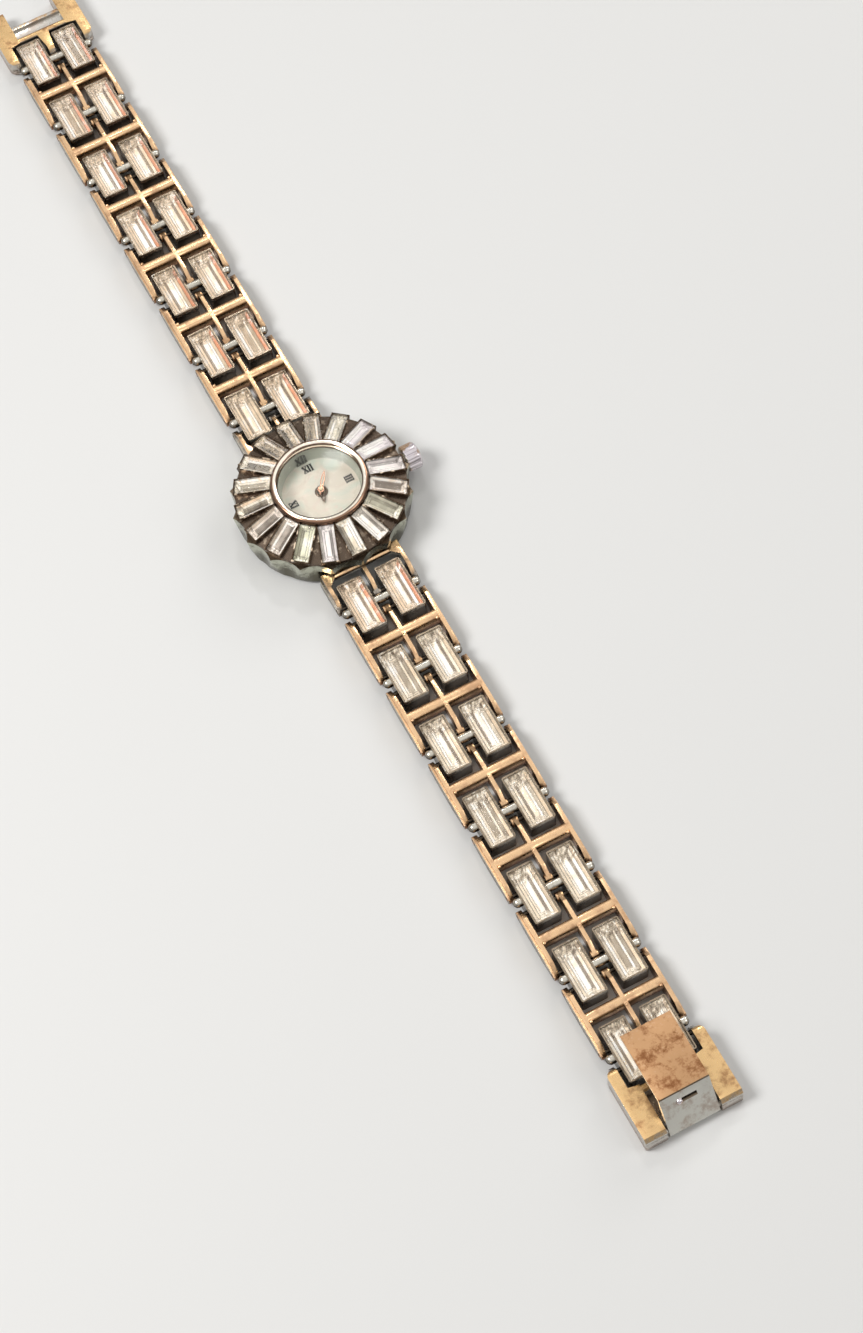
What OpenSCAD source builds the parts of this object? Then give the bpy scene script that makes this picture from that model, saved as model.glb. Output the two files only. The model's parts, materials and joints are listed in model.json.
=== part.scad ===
// Ladies' cocktail watch: a small round quartz head ringed with radial baguettes,
// on an open two-row bracelet of hinged frames and baguette cups.
// X runs across the bracelet towards the crown, Y along it towards twelve o'clock, Z up.
// The origin is the centre of the case back's flat underside.

/* [Bracelet] */
// Distance from one crossbar to the next
cell_pitch = 11; // [10.6:0.1:13]
// Distance of the first crossbar from the middle of the head
first_crossbar = 10.45; // [10.4:0.05:11.5]
// Width over the two side rails
bracelet_w = 11; // [10.8:0.1:13]
// Height of the crossbar tops above the table
frame_top = 2.6; // [2.5:0.05:3]
// Thickness of a side rail's upper, gold part
rail_t = 0.5; // [0.4:0.05:0.55]
// Thickness of the lower lip outside each rail
lip_t = 0.2; // [0.15:0.05:0.4]
// Height of the lower lip above the table
lip_top = 1.75; // [1.6:0.05:1.9]
// Width of the crossbars at the head and the clasp, along the bracelet
crossbar_w = 1.1; // [0.8:0.05:1.3]
// Width of a frame's crossbar along the bracelet
frame_bar_w = 1.4; // [1.1:0.05:1.5]
// Rounding of a frame's crossbar
frame_bar_round = 0.55; // [0.3:0.05:0.55]
// Depth of a crossbar
crossbar_h = 1.6; // [1.1:0.1:1.9]
// Length of the flat rail top on each side of its crossbar
rail_flat = 3.2; // [2.4:0.1:3.3]
// Thickness of the middle spine
spine_t = 0.5; // [0.4:0.05:0.7]
// Length of the flat spine top on each side of its crossbar
spine_flat = 2.9; // [2:0.1:3.1]
// Width of the spine's knuckles
spine_knuckle_w = 0.9; // [0.7:0.05:1.1]

/* [Hinges] */
// Distance of each hinge pin from the middle of its cell
pin_offset = 1.3; // [1.28:0.01:1.5]
// Height of the hinge pins above the table
pin_z = 1.1; // [1:0.05:1.2]
// Diameter of a hinge pin
pin_d = 0.6; // [0.4:0.05:0.65]
// Running clearance round a pin, on the radius
pin_clear = 0.04; // [0.02:0.01:0.06]
// Gap round a pin where it is pressed in, on the radius
press_gap = 0.015; // [0.01:0.005:0.02]
// Radius of the knuckles that a pin passes through
knuckle_r = 0.62; // [0.55:0.01:0.65]

/* [Stone cups] */
// Length of a cup
cup_l = 7.5; // [7.2:0.1:7.6]
// Clearance between a cup and the rail beside it
rail_clear = 0.45; // [0.4:0.05:0.6]
// Thickness of a cup's wall
cup_wall = 0.17; // [0.12:0.01:0.25]
// Distance between the two cups of a cell
cup_gap = 1.9; // [1.7:0.05:1.95]
// Height of a cup's underside above the table
cup_base = 0.2; // [0.1:0.05:0.3]
// Height of the ledge that the stone sits over
cup_seat = 1.6; // [1.5:0.05:1.7]
// Height of a cup's rim
cup_rim = 2.7; // [2.5:0.05:2.8]
// Corner radius of a cup
cup_corner = 0.25; // [0.1:0.05:0.4]
// Diameter of the bar that joins two cups
tie_d = 1.2; // [0.9:0.05:1.2]
// Height of the bar above the table
tie_z = 1.9; // [1.85:0.05:2]
// How far the bar's domed ends stand off the cups
knob_out = 1; // [0.8:0.05:1.1]

/* [Baguette stones] */
// Height of a bracelet stone's table above its cup's rim
table_rise = 0.55; // [0.3:0.05:0.8]
// Gap round a stone in its seat
stone_gap = 0.02; // [0.01:0.01:0.04]
// Width of each step of the cut
step_w = 0.42; // [0.25:0.01:0.5]

/* [Head] */
// Number of stones round the dial
ring_stones = 18; // [16:1:20]
// Gap between the bezel ring and the inner ends of the ring stones
ring_in_gap = 0.1; // [0.08:0.01:0.2]
// How far the ring stones' outer ends stay inside the case's ridges
ring_inset = 0.7; // [0.5:0.05:0.9]
// Width of a ring stone
ring_stone_w = 2; // [1.5:0.05:2.05]
// Depth of a ring stone
ring_stone_h = 1; // [0.9:0.05:1.1]
// Outward slope of the ring stones
ring_slope = 14; // [8:0.5:15]
// Height of the ring stones' tables at their inner end
ring_top = 6.85; // [6.8:0.05:6.95]
// Thickness of the walls of a ring stone's seat
ring_wall = 0.15; // [0.1:0.01:0.2]
// Radius of the case over its ridges at the shoulder
case_r = 11.5; // [11.3:0.05:11.8]
// Radius of the case over its ridges at the foot
foot_r = 10.85; // [10.7:0.05:11]
// Depth of the hollow flutes between the ridges
flute_depth = 0.75; // [0.5:0.05:0.9]
// Height of the case's shoulder
case_top = 4.3; // [4.2:0.05:4.4]
// Radius of the dial opening
opening_r = 5.3; // [5:0.05:5.4]
// Height of the bezel ring
bezel_top = 7; // [6.9:0.05:7.2]
// Radius of the bezel ring
bezel_r = 6.18; // [6.1:0.02:6.3]
// Thickness of the crystal at its edge
crystal_t = 0.5; // [0.4:0.05:0.6]
// Rise of the crystal's dome
crystal_rise = 0.28; // [0.1:0.02:0.4]
// Height of the dial's face
dial_z = 4.2; // [4.1:0.05:4.3]
// Radius of the dial that shows inside the sloping wall round it
dial_show_r = 4.95; // [4.7:0.05:5]
// Thickness of the case back
back_t = 0.6; // [0.4:0.05:0.7]
// Radius of the case back
back_r = 9.3; // [9.1:0.1:9.5]

/* [Movement and hands] */
// Radius of the movement
movement_r = 6.3; // [6.1:0.05:6.35]
// Height of the movement's underside
movement_z = 1.15; // [1.1:0.05:1.3]
// Diameter of the button cell
cell_d = 5.8; // [4.8:0.1:5.9]
// Thickness of the button cell
cell_t = 2.1; // [1.6:0.1:2.2]
// Length of the minute hand
minute_l = 2.9; // [2.5:0.1:3.6]
// Length of the hour hand
hour_l = 1.9; // [1.6:0.1:2.3]
// Radius of the post that turns the hands
post_r = 0.2; // [0.15:0.01:0.25]
// Thickness of a hand
hand_t = 0.1; // [0.08:0.01:0.15]
// Width of the strips round a hand's pierced blade
hand_strip = 0.13; // [0.1:0.01:0.16]

/* [Crown] */
// Diameter of the crown
crown_d = 3.5; // [3:0.1:3.8]
// Length of the crown
crown_l = 2.1; // [1.6:0.1:2.4]
// Height of the crown's axis
crown_z = 2.4; // [2.2:0.05:2.8]
// Gap between the crown and the tube on the case
crown_gap = 0.15; // [0.1:0.01:0.3]
// Diameter of the winding stem
stem_d = 0.9; // [0.7:0.05:1]
// Number of flutes on the crown
crown_flutes = 16; // [12:1:20]

/* [Clasp] */
// How far each cheek stands outside the bracelet's side
cheek_step = 0.75; // [0.4:0.05:1]
// Width of a cheek
cheek_w = 2.75; // [2.5:0.05:2.9]
// Distance of the clasp's ends beyond the last cell's middle
clasp_reach = 10.85; // [10.5:0.05:11.2]
// Length of the folding lever's plate
lever_l = 8.8; // [8:0.1:9.2]
// Gap on each side of the folding lever
lever_gap = 0.3; // [0.2:0.05:0.6]
// Thickness of the lever's sheet
lever_t = 0.4; // [0.3:0.05:0.5]
// Height of the lever's plate
lever_top = 5.9; // [5.2:0.05:6.2]
// How far the lever's front wall leans in
lever_lean = 2.6; // [1.5:0.1:3]
// Radius of the lever's hinge barrel
lever_barrel_r = 0.7; // [0.6:0.02:0.75]
// Diameter of the lever's pin
lever_pin_d = 0.6; // [0.5:0.05:0.7]
// Depth of the clasp's floor plate
floor_t = 0.5; // [0.3:0.05:0.6]
// Length of the catch's plate
catch_plate_l = 3; // [2:0.1:4]
// Thickness of the catch's plate
catch_plate_h = 1.2; // [0.8:0.05:1.4]
// Width of the raised edge on the catch's plate
catch_edge = 0.5; // [0.3:0.05:0.8]

/* [Hidden] */
$fn = 32;
twelve = 1;
six = -1;
cells = 7;
gold = [0.86, 0.74, 0.52];
silver = [0.78, 0.78, 0.77];
eps = 0.01;

pin_r = pin_d / 2;
half_w = bracelet_w / 2;
rail_x = half_w - lip_t - rail_t;
bead_r = 0.24;
gusset_w = 1;
gusset_l = 1.4;
// A frame's pins lie this far from its crossbar
pin_reach = cell_pitch / 2 - pin_offset;
last_cell_y = first_crossbar + (cells - 0.5) * cell_pitch;
last_pin_y = last_cell_y + pin_offset;
end_y = last_cell_y + clasp_reach;
cup_w = rail_x - rail_clear - cup_gap / 2;
cup_x = cup_gap / 2 + cup_w / 2;
cup_out = cup_gap / 2 + cup_w;
spine_floor = pin_z - knuckle_r + 0.3;

stone_l = cup_l - 2 * cup_wall - 2 * stone_gap;
stone_w = cup_w - 2 * cup_wall - 2 * stone_gap;
stone_girdle = 0.25;

core_r = case_r - flute_depth;
// The hollow flutes run from ridge to ridge, as arcs that touch core_r
ridge_step = 180 / ring_stones;
flute_sag = case_r * cos(ridge_step) - core_r;
flute_r = (pow(case_r * sin(ridge_step), 2) + pow(flute_sag, 2)) / (2 * flute_sag);
body_bottom = back_t + eps;
lip_r = 8.6;
lip_h = 0.9;
lip_wall = 0.7;
gasket_h = 0.3;
shoulder_z = back_t + lip_h + gasket_h + 2 * eps;
cavity_r = movement_r + 0.1;
rest_ring_r = movement_r - 0.4;
dial_t = 0.25;
dial_r = movement_r - 0.1;
collar_top = 5.4;
collar_r = cavity_r + 0.55;
setting_gap = 0.03;
ring_in_r = bezel_r + ring_in_gap;
ring_stone_l = (case_r - ring_inset - ring_in_r) / cos(ring_slope);
ring_rise = 0.4;
ring_girdle = 0.2;
seat_floor = 0.12;
gap_depth = 0.6;
crystal_z = bezel_top - 0.4 - crystal_t;
movement_top = dial_z - dial_t - eps;
hand_hole_r = post_r + 0.1;
hand_bore_r = post_r + 0.03;
hand_hub_r = 0.42;
hour_z = dial_z + 0.2;
minute_z = hour_z + 0.28;
post_top = minute_z + hand_t + 0.15;
cell_gap = 0.06;
cell_x = -2.3;
cell_y = -2.23;

notch_y = 9.25;
notch_clear = 0.25;
notch_top = frame_top + 0.4;
lug_y = first_crossbar - 0.5;
lug_z = 1.3;
lug_r = 0.55;
lug_half = 1.5;
lug_gap = 0.1;
lug_bar_r = 0.35;
lug_bar_half = rail_x - 0.3;
end_bar_h = frame_top - lug_z - lug_r - 0.1;

tube_r = stem_d / 2 + 0.45;
tube_end = core_r + 0.5;
stem_r = stem_d / 2;
stem_in = 4.5;
crown_x = tube_end + crown_gap;
crown_cap = 0.5;
stem_end = crown_x + crown_l - crown_cap - 0.05;
stem_clear = 0.05;
crown_flute_r = 0.16;

cheek_half = half_w + cheek_step;
cheek_x = cheek_half - cheek_w;
clasp_w = 2 * cheek_half;
lever_w = 2 * (cheek_x - lever_gap);
clasp_bar_y = last_cell_y + cell_pitch / 2 - 0.6;
cup_end_y = last_cell_y + cup_l / 2;
lever_pin_y = end_y - lever_barrel_r;
lever_pin_z = lever_barrel_r + 0.3;
lever_half = lever_w / 2;
floor_z = 0.2;
catch_bar_w = 0.85;

// Points along an arc, with its centre, radius and first and last angle
function arc(cx, cy, r, from, to, steps) =
    [for (i = [0:steps]) let (a = from + (to - from) * i / steps) [cx + r * cos(a), cy + r * sin(a)]];

// Outline of a rectangle with round corners
function round_rect(l, w, r) = concat(
    arc(l / 2 - r, w / 2 - r, r, 0, 90, 3),
    arc(-l / 2 + r, w / 2 - r, r, 90, 180, 3),
    arc(-l / 2 + r, -w / 2 + r, r, 180, 270, 3),
    arc(l / 2 - r, -w / 2 + r, r, 270, 360, 3)
);

// Side outline of a rail: flat top, two round ends on the pins and a shallow belly
function rail_side(flat, top, low) = concat(
    arc(pin_reach, pin_z, knuckle_r, -100, 45, 7),
    [[flat, top], [-flat, top]],
    arc(-pin_reach, pin_z, knuckle_r, 135, 280, 7),
    [[-pin_reach * 0.7, low + 0.18], [-pin_reach * 0.35, low]],
    [[pin_reach * 0.35, low], [pin_reach * 0.7, low + 0.18]]
);

// Section of a crossbar: a deep bar with a rounded top
function bar_section(w, h, top, r = 0.4) = concat(
    [[-w / 2, top - h], [w / 2, top - h]],
    arc(w / 2 - r, top - r, r, 0, 90, 5),
    arc(-w / 2 + r, top - r, r, 90, 180, 5)
);

// Stretches a side outline, drawn as (y, z), across the bracelet
module across(x, t) {
    translate([x, 0, 0])
        rotate([90, 0, 90])
            linear_extrude(height = t)
                children();
}

// A round rod or hole across the bracelet
module rod(x, y, z, l, r) {
    translate([x, y, z])
        rotate([0, 90, 0])
            cylinder(h = l, r = r);
}

// Draws a half of the bracelet: the six o'clock half is the twelve o'clock half mirrored
module half(side) {
    if (side == twelve) {
        children();
    } else {
        mirror([0, 1, 0])
            children();
    }
}

// The two side rails, each with its lower lip, round a crossbar at y = 0
module rails() {
    for (s = [0, 1])
        mirror([s, 0, 0]) {
            across(rail_x, rail_t)
                polygon(rail_side(rail_flat, frame_top, 0));
            across(rail_x + rail_t - eps, lip_t + eps)
                polygon(rail_side(rail_flat + 0.2, lip_top, 0.1));
        }
}

// The middle spine with its two knuckles
module spine() {
    across(-spine_t / 2, spine_t)
        polygon(rail_side(spine_flat, frame_top, spine_floor));
    for (y = [-pin_reach, pin_reach])
        rod(-spine_knuckle_w / 2, y, pin_z, spine_knuckle_w, knuckle_r);
}

// A crossbar between the rails
module crossbar(w, h, r) {
    across(-rail_x - eps, 2 * rail_x + 2 * eps)
        polygon(bar_section(w, h, frame_top, r));
}

// The two pin holes of a frame
module frame_bores() {
    for (y = [-pin_reach, pin_reach])
        rod(-half_w - 1, y, pin_z, bracelet_w + 2, pin_r + pin_clear);
}

// The cast beads on the outer flank of a crossbar, over the spine and by the rails
module beads() {
    translate([0, frame_bar_w / 2 + 0.1, frame_top - bead_r / 2])
        sphere(r = bead_r);
    for (x = [-rail_x + bead_r, rail_x - bead_r])
        translate([x, frame_bar_w / 2 - 0.06, frame_top - bead_r * 0.8])
            sphere(r = bead_r);
}

// Frame number k of a half, with its crossbar, rails and spine in one casting
module frame(side, k) {
    color(gold)
        half(side)
            translate([0, first_crossbar + k * cell_pitch, 0])
                difference() {
                    union() {
                        rails();
                        spine();
                        crossbar(frame_bar_w, crossbar_h, frame_bar_round);
                        beads();
                    }
                    frame_bores();
                }
}

// One cup: a deep box with a ledge and a thin rim
module cup() {
    difference() {
        translate([0, 0, cup_base])
            linear_extrude(height = cup_rim - cup_base)
                polygon(round_rect(cup_w, cup_l, cup_corner));
        translate([-cup_w / 2 + cup_wall, -cup_l / 2 + cup_wall, cup_seat])
            cube([cup_w - 2 * cup_wall, cup_l - 2 * cup_wall, cup_rim]);
    }
}

// The bar that ties the two cups, with a domed end outside each
module tie_bar() {
    dome_x = cup_out + knob_out - tie_d / 2;
    rod(-cup_gap / 2 - cup_wall / 2, 0, tie_z, cup_gap + cup_wall, tie_d / 2);
    for (s = [0, 1])
        mirror([s, 0, 0]) {
            rod(cup_out - cup_wall / 2, 0, tie_z, dome_x - cup_out + cup_wall / 2, tie_d / 2);
            intersection() {
                translate([dome_x, 0, tie_z])
                    sphere(r = tie_d / 2);
                rod(dome_x - eps, 0, tie_z, tie_d, tie_d);
            }
        }
}

// Link number k of a half: two cups on their bar, and the two hinge pins through them
module link(side, k) {
    color(silver)
        half(side)
            translate([0, first_crossbar + (k - 0.5) * cell_pitch, 0]) {
                difference() {
                    union() {
                        for (x = [-cup_x, cup_x])
                            translate([x, 0, 0])
                                cup();
                        tie_bar();
                    }
                    for (y = [-pin_offset, pin_offset])
                        rod(-half_w, y, pin_z, bracelet_w, pin_r + press_gap);
                }
                for (y = [-pin_offset, pin_offset])
                    rod(-half_w + 0.05, y, pin_z, bracelet_w - 0.1, pin_r);
            }
}

// Profile of a step cut: table, two steps, girdle and keel, with its middle on x = 0
function step_cut(w, rise, girdle, depth) = [
    [-w / 2, -girdle], [-w / 2 + step_w, -girdle - depth * 0.55], [-w * 0.08, -girdle - depth],
    [w * 0.08, -girdle - depth], [w / 2 - step_w, -girdle - depth * 0.55], [w / 2, -girdle],
    [w / 2, 0], [w / 2 - step_w * 0.45, rise * 0.62], [w / 2 - step_w, rise],
    [-w / 2 + step_w, rise], [-w / 2 + step_w * 0.45, rise * 0.62], [-w / 2, 0]
];

// A step-cut baguette along Y with its girdle's top at z = 0
module baguette(l, w, rise, girdle, depth) {
    intersection() {
        translate([0, l / 2, 0])
            rotate([90, 0, 0])
                linear_extrude(height = l)
                    polygon(step_cut(w, rise, girdle, depth));
        across(-w / 2, w)
            polygon(end_cut(l, w, rise, girdle, depth));
    }
}

// Profile of the same cut seen from the side, where the keel runs out to a flat
function end_cut(l, w, rise, girdle, depth) = [
    [-l / 2, -girdle], [-l / 2 + step_w, -girdle - depth * 0.55], [-l / 2 + w * 0.45, -girdle - depth],
    [l / 2 - w * 0.45, -girdle - depth], [l / 2 - step_w, -girdle - depth * 0.55], [l / 2, -girdle],
    [l / 2, 0], [l / 2 - step_w * 0.45, rise * 0.62], [l / 2 - step_w, rise],
    [-l / 2 + step_w, rise], [-l / 2 + step_w * 0.45, rise * 0.62], [-l / 2, 0]
];

// The two stones of link number k of a half
module stones(side, k) {
    color([0.93, 0.92, 0.88, 0.8])
        half(side)
            translate([0, first_crossbar + (k - 0.5) * cell_pitch, cup_rim])
                for (x = [-cup_x, cup_x])
                    translate([x, 0, 0])
                        baguette(stone_l, stone_w, table_rise, stone_girdle,
                                 cup_rim - cup_seat - stone_girdle - stone_gap);
}

// The wide corners where the end piece's rails spread towards the head
module gussets() {
    for (s = [0, 1])
        mirror([s, 0, 0])
            translate([0, 0, frame_top - end_bar_h])
                linear_extrude(height = end_bar_h)
                    polygon([
                        [rail_x + eps, -crossbar_w / 2], [rail_x - gusset_w - 0.4, -crossbar_w / 2],
                        [rail_x - gusset_w, crossbar_w / 2 - 0.1], [rail_x + eps, gusset_l]
                    ]);
}

// The piece that joins the head to the first link: half a frame with knuckles under its bar
module end_piece(side) {
    color(gold)
        half(side)
            difference() {
                union() {
                    translate([0, first_crossbar, 0])
                        intersection() {
                            union() {
                                rails();
                                spine();
                            }
                            translate([-half_w, -crossbar_w / 2, 0])
                                cube([bracelet_w, cell_pitch, frame_top]);
                        }
                    translate([0, first_crossbar, 0]) {
                        crossbar(crossbar_w, end_bar_h, 0.4);
                        gussets();
                    }
                    for (s = [0, 1])
                        mirror([s, 0, 0]) {
                            rod(lug_half + lug_gap, lug_y, lug_z, rail_x - lug_half - lug_gap + eps, lug_r);
                            translate([lug_half + lug_gap, lug_y, lug_z])
                                cube([rail_x - lug_half - lug_gap + eps, lug_r, frame_top - lug_z - 0.4]);
                        }
                }
                translate([0, first_crossbar, 0])
                    frame_bores();
                rod(-lug_bar_half - 0.1, lug_y, lug_z, 2 * lug_bar_half + 0.2, lug_bar_r + pin_clear);
                translate([-lug_half - lug_gap, lug_y - lug_r - 1, 0])
                    cube([2 * lug_half + 2 * lug_gap, lug_r + 1 + lug_r + lug_gap, lug_z + lug_r + 0.05]);
            }
}

// The case: a fluted wall under the stones, hollow for the movement
module case_body() {
    color(silver)
        difference() {
            union() {
                case_wall();
                translate([0, 0, case_top - eps])
                    cylinder(h = collar_top - case_top + eps, r = collar_r, $fn = 96);
                rod(core_r - 1, 0, crown_z, tube_end - core_r + 1, tube_r);
                case_lugs();
            }
            case_cavity();
            case_notches();
            for (side = [twelve, six])
                half(side)
                    rod(-lug_half - 1, lug_y, lug_z, 2 * lug_half + 2, lug_bar_r + press_gap);
            rod(cavity_r - 1, 0, crown_z, case_r, stem_r + stem_clear);
        }
}

// The flared wall of the case, with a ridge under each stone and a hollow flute between
module case_wall() {
    difference() {
        translate([0, 0, body_bottom])
            cylinder(h = case_top - body_bottom, r1 = foot_r, r2 = case_r, $fn = 96);
        for (i = [0:ring_stones - 1])
            rotate([0, 0, (2 * i + 1) * ridge_step])
                translate([0, core_r + flute_r, 0])
                    cylinder(h = case_top + 1, r = flute_r, $fn = 64);
    }
}

// The stepped hollow of the case: back lip, gasket, movement and dial
module case_cavity() {
    translate([0, 0, -1])
        cylinder(h = shoulder_z + 1, r = lip_r + 0.03, $fn = 96);
    translate([0, 0, shoulder_z - eps])
        cylinder(h = dial_z + 0.05 - shoulder_z, r = cavity_r, $fn = 96);
    translate([0, 0, dial_z + 0.05 - 0.1])
        cylinder(h = 0.15, r = dial_show_r, $fn = 96);
    translate([0, 0, dial_z + 0.05])
        cylinder(h = collar_top - dial_z - 0.05, r1 = dial_show_r, r2 = opening_r, $fn = 96);
    translate([0, 0, collar_top - eps])
        cylinder(h = 1, r = opening_r, $fn = 96);
}

// Flat recesses for the end pieces at twelve and six, leaving the middle lug
module case_notches() {
    notch_half = half_w + notch_clear;
    for (side = [twelve, six])
        half(side)
            difference() {
                translate([-notch_half, notch_y, -1])
                    cube([2 * notch_half, 4, notch_top + 1]);
                translate([-lug_half, notch_y - 1, lug_z - lug_r])
                    cube([2 * lug_half, lug_y - notch_y + 1, 2 * lug_r]);
                rod(-lug_half, lug_y, lug_z, 2 * lug_half, lug_r);
            }
}

// The middle lug at twelve and six, before it is drilled
module case_lugs() {
    for (side = [twelve, six])
        half(side)
            union() {
                translate([-lug_half, notch_y - 0.5, lug_z - lug_r])
                    cube([2 * lug_half, lug_y - notch_y + 0.5, 2 * lug_r]);
                rod(-lug_half, lug_y, lug_z, 2 * lug_half, lug_r);
            }
}

// The bars that the end pieces swing on, pressed into the lugs
module lug_bars() {
    color(silver)
        for (side = [twelve, six])
            half(side)
                rod(-lug_bar_half, lug_y, lug_z, 2 * lug_bar_half, lug_bar_r);
}

// The snap-on back with its lip and the ring that steadies the movement
module case_back() {
    color(silver)
        union() {
            cylinder(h = back_t, r = back_r, $fn = 96);
            difference() {
                translate([0, 0, back_t - eps])
                    cylinder(h = lip_h + eps, r = lip_r, $fn = 96);
                translate([0, 0, back_t])
                    cylinder(h = lip_h + 1, r = lip_r - lip_wall, $fn = 96);
            }
            difference() {
                translate([0, 0, back_t - eps])
                    cylinder(h = movement_z - back_t, r = rest_ring_r, $fn = 96);
                translate([0, 0, back_t])
                    cylinder(h = lip_h + 1, r = rest_ring_r - 0.6, $fn = 96);
            }
        }
}

// The flat sealing ring between the back's lip and the case
module back_gasket() {
    color([0.1, 0.1, 0.1])
        difference() {
            translate([0, 0, back_t + lip_h + eps])
                cylinder(h = gasket_h, r = lip_r, $fn = 96);
            cylinder(h = 4, r = lip_r - lip_wall, $fn = 96);
        }
}

// Places its child at the middle of each ring stone, sloping outwards
module ring_places() {
    mid_r = ring_in_r + cos(ring_slope) * ring_stone_l / 2;
    drop = sin(ring_slope) * ring_stone_l / 2;
    for (i = [0:ring_stones - 1])
        rotate([0, 0, i * 360 / ring_stones])
            translate([0, mid_r, ring_top - drop - ring_rise])
                rotate([-ring_slope, 0, 0])
                    children();
}

// The radial baguettes
module bezel_stones() {
    color([0.93, 0.92, 0.88, 0.8])
        ring_places()
            baguette(ring_stone_l, ring_stone_w, ring_rise, ring_girdle,
                     ring_stone_h - ring_rise - ring_girdle);
}

// The ring of box-shaped seats that hold the radial stones, joined by a sloping floor
module stone_setting() {
    slope = tan(ring_slope);
    floor_in_z = ring_top - ring_rise - gap_depth;
    seat_w = ring_stone_w + 2 * stone_gap;
    seat_h = ring_stone_h - ring_rise + stone_gap;
    seat_y = -ring_stone_l / 2 - stone_gap;
    color(silver)
        difference() {
            union() {
                rotate_extrude($fn = 96)
                    polygon([
                        [bezel_r + setting_gap, case_top + eps], [core_r, case_top + eps],
                        [core_r, floor_in_z - slope * (core_r - bezel_r)],
                        [bezel_r + setting_gap, floor_in_z]
                    ]);
                ring_places()
                    translate([-seat_w / 2 - ring_wall, seat_y, -seat_h - seat_floor])
                        cube([
                            seat_w + 2 * ring_wall, ring_stone_l + 2 * stone_gap + ring_wall,
                            seat_h + seat_floor
                        ]);
            }
            ring_places()
                translate([-seat_w / 2, seat_y, -seat_h])
                    cube([seat_w, ring_stone_l + 2 * stone_gap, seat_h + 2]);
            cylinder(h = collar_top + setting_gap, r = collar_r + setting_gap, $fn = 96);
            cylinder(h = bezel_top, r = bezel_r + setting_gap, $fn = 96);
        }
}

// The polished ring round the crystal
module bezel_ring() {
    color(silver)
        rotate_extrude($fn = 96)
            polygon([
                [opening_r, collar_top + eps], [bezel_r, collar_top + eps],
                [bezel_r, bezel_top - 0.45], [bezel_r - 0.12, bezel_top - 0.15],
                [bezel_r - 0.4, bezel_top], [opening_r + 0.25, bezel_top],
                [opening_r, bezel_top - 0.2], [opening_r, bezel_top - 0.3],
                [opening_r + 0.25, bezel_top - 0.35], [opening_r + 0.25, crystal_z - eps],
                [opening_r, crystal_z - eps]
            ]);
}

// The domed crystal with a bevelled edge
module crystal() {
    rim_r = opening_r + 0.2;
    face_r = opening_r - 0.05;
    dome = (face_r * face_r + crystal_rise * crystal_rise) / (2 * crystal_rise);
    sweep = asin(face_r / dome);
    color([0.9, 0.95, 0.95, 0.4])
        rotate_extrude($fn = 96)
            polygon(concat(
                [[0, crystal_z], [rim_r, crystal_z], [rim_r, crystal_z + crystal_t], [face_r, crystal_z + crystal_t]],
                [for (i = [0:8]) let (a = sweep * (1 - i / 8))
                    [dome * sin(a), crystal_z + crystal_t + 0.25 + crystal_rise - dome * (1 - cos(a))]]
            ));
}

// The dial disc
module dial() {
    color([0.93, 0.92, 0.85])
        difference() {
            translate([0, 0, dial_z - dial_t])
                cylinder(h = dial_t, r = dial_r, $fn = 96);
            cylinder(h = 10, r = hand_hole_r);
        }
}

// The quartz movement with its hand post, stem hole and button-cell pocket
module movement() {
    color([0.75, 0.7, 0.5])
        difference() {
            union() {
                translate([0, 0, movement_z])
                    cylinder(h = movement_top - movement_z, r = movement_r, $fn = 96);
                cylinder(h = post_top, r = post_r);
            }
            cylinder(h = movement_z, r = 1);
            translate([cell_x, cell_y, 0])
                cylinder(h = movement_z + cell_t + 0.1, r = cell_d / 2 + cell_gap);
            rod(stem_in - 0.1, 0, crown_z, 6, stem_r + stem_clear);
        }
}

// The button cell
module battery() {
    color([0.8, 0.8, 0.8])
        translate([cell_x, cell_y, movement_z]) {
            cylinder(h = 0.4, r = cell_d / 2 - 0.6);
            translate([0, 0, 0.4 - eps])
                cylinder(h = cell_t - 0.4, r = cell_d / 2);
        }
}

// Outline of a leaf-shaped blade of half width w, between two distances from the hub
function leaf(w, root, from, to) = [
    [root, from], [w, from + (to - from) * 0.35], [w * 0.75, from + (to - from) * 0.65], [0, to],
    [-w * 0.75, from + (to - from) * 0.65], [-w, from + (to - from) * 0.35], [-root, from]
];

// A flat hand with a ring hub, a pierced leaf blade and a short tail, pointing along Y
module hand(l, z, w) {
    translate([0, 0, z])
        difference() {
            union() {
                cylinder(h = hand_t, r = hand_hub_r);
                linear_extrude(height = hand_t)
                    polygon(leaf(w / 2, 0.15, hand_hub_r - 0.12, l));
                translate([-hand_strip / 2, -0.75, 0])
                    cube([hand_strip, 0.5, hand_t]);
            }
            translate([0, 0, -1])
                cylinder(h = 3, r = hand_bore_r);
            translate([0, 0, -1])
                linear_extrude(height = 3)
                    polygon(leaf(w / 2 - hand_strip, 0.02, hand_hub_r + 0.08, l - hand_strip * 3.4));
        }
}

module hour_hand() {
    color(gold)
        rotate([0, 0, -192])
            hand(hour_l, hour_z, 0.62);
}

module minute_hand() {
    color(gold)
        rotate([0, 0, -35])
            hand(minute_l, minute_z, 0.56);
}

// The winding stem
module stem() {
    color(silver)
        rod(stem_in, 0, crown_z, stem_end - stem_in, stem_r);
}

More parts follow.
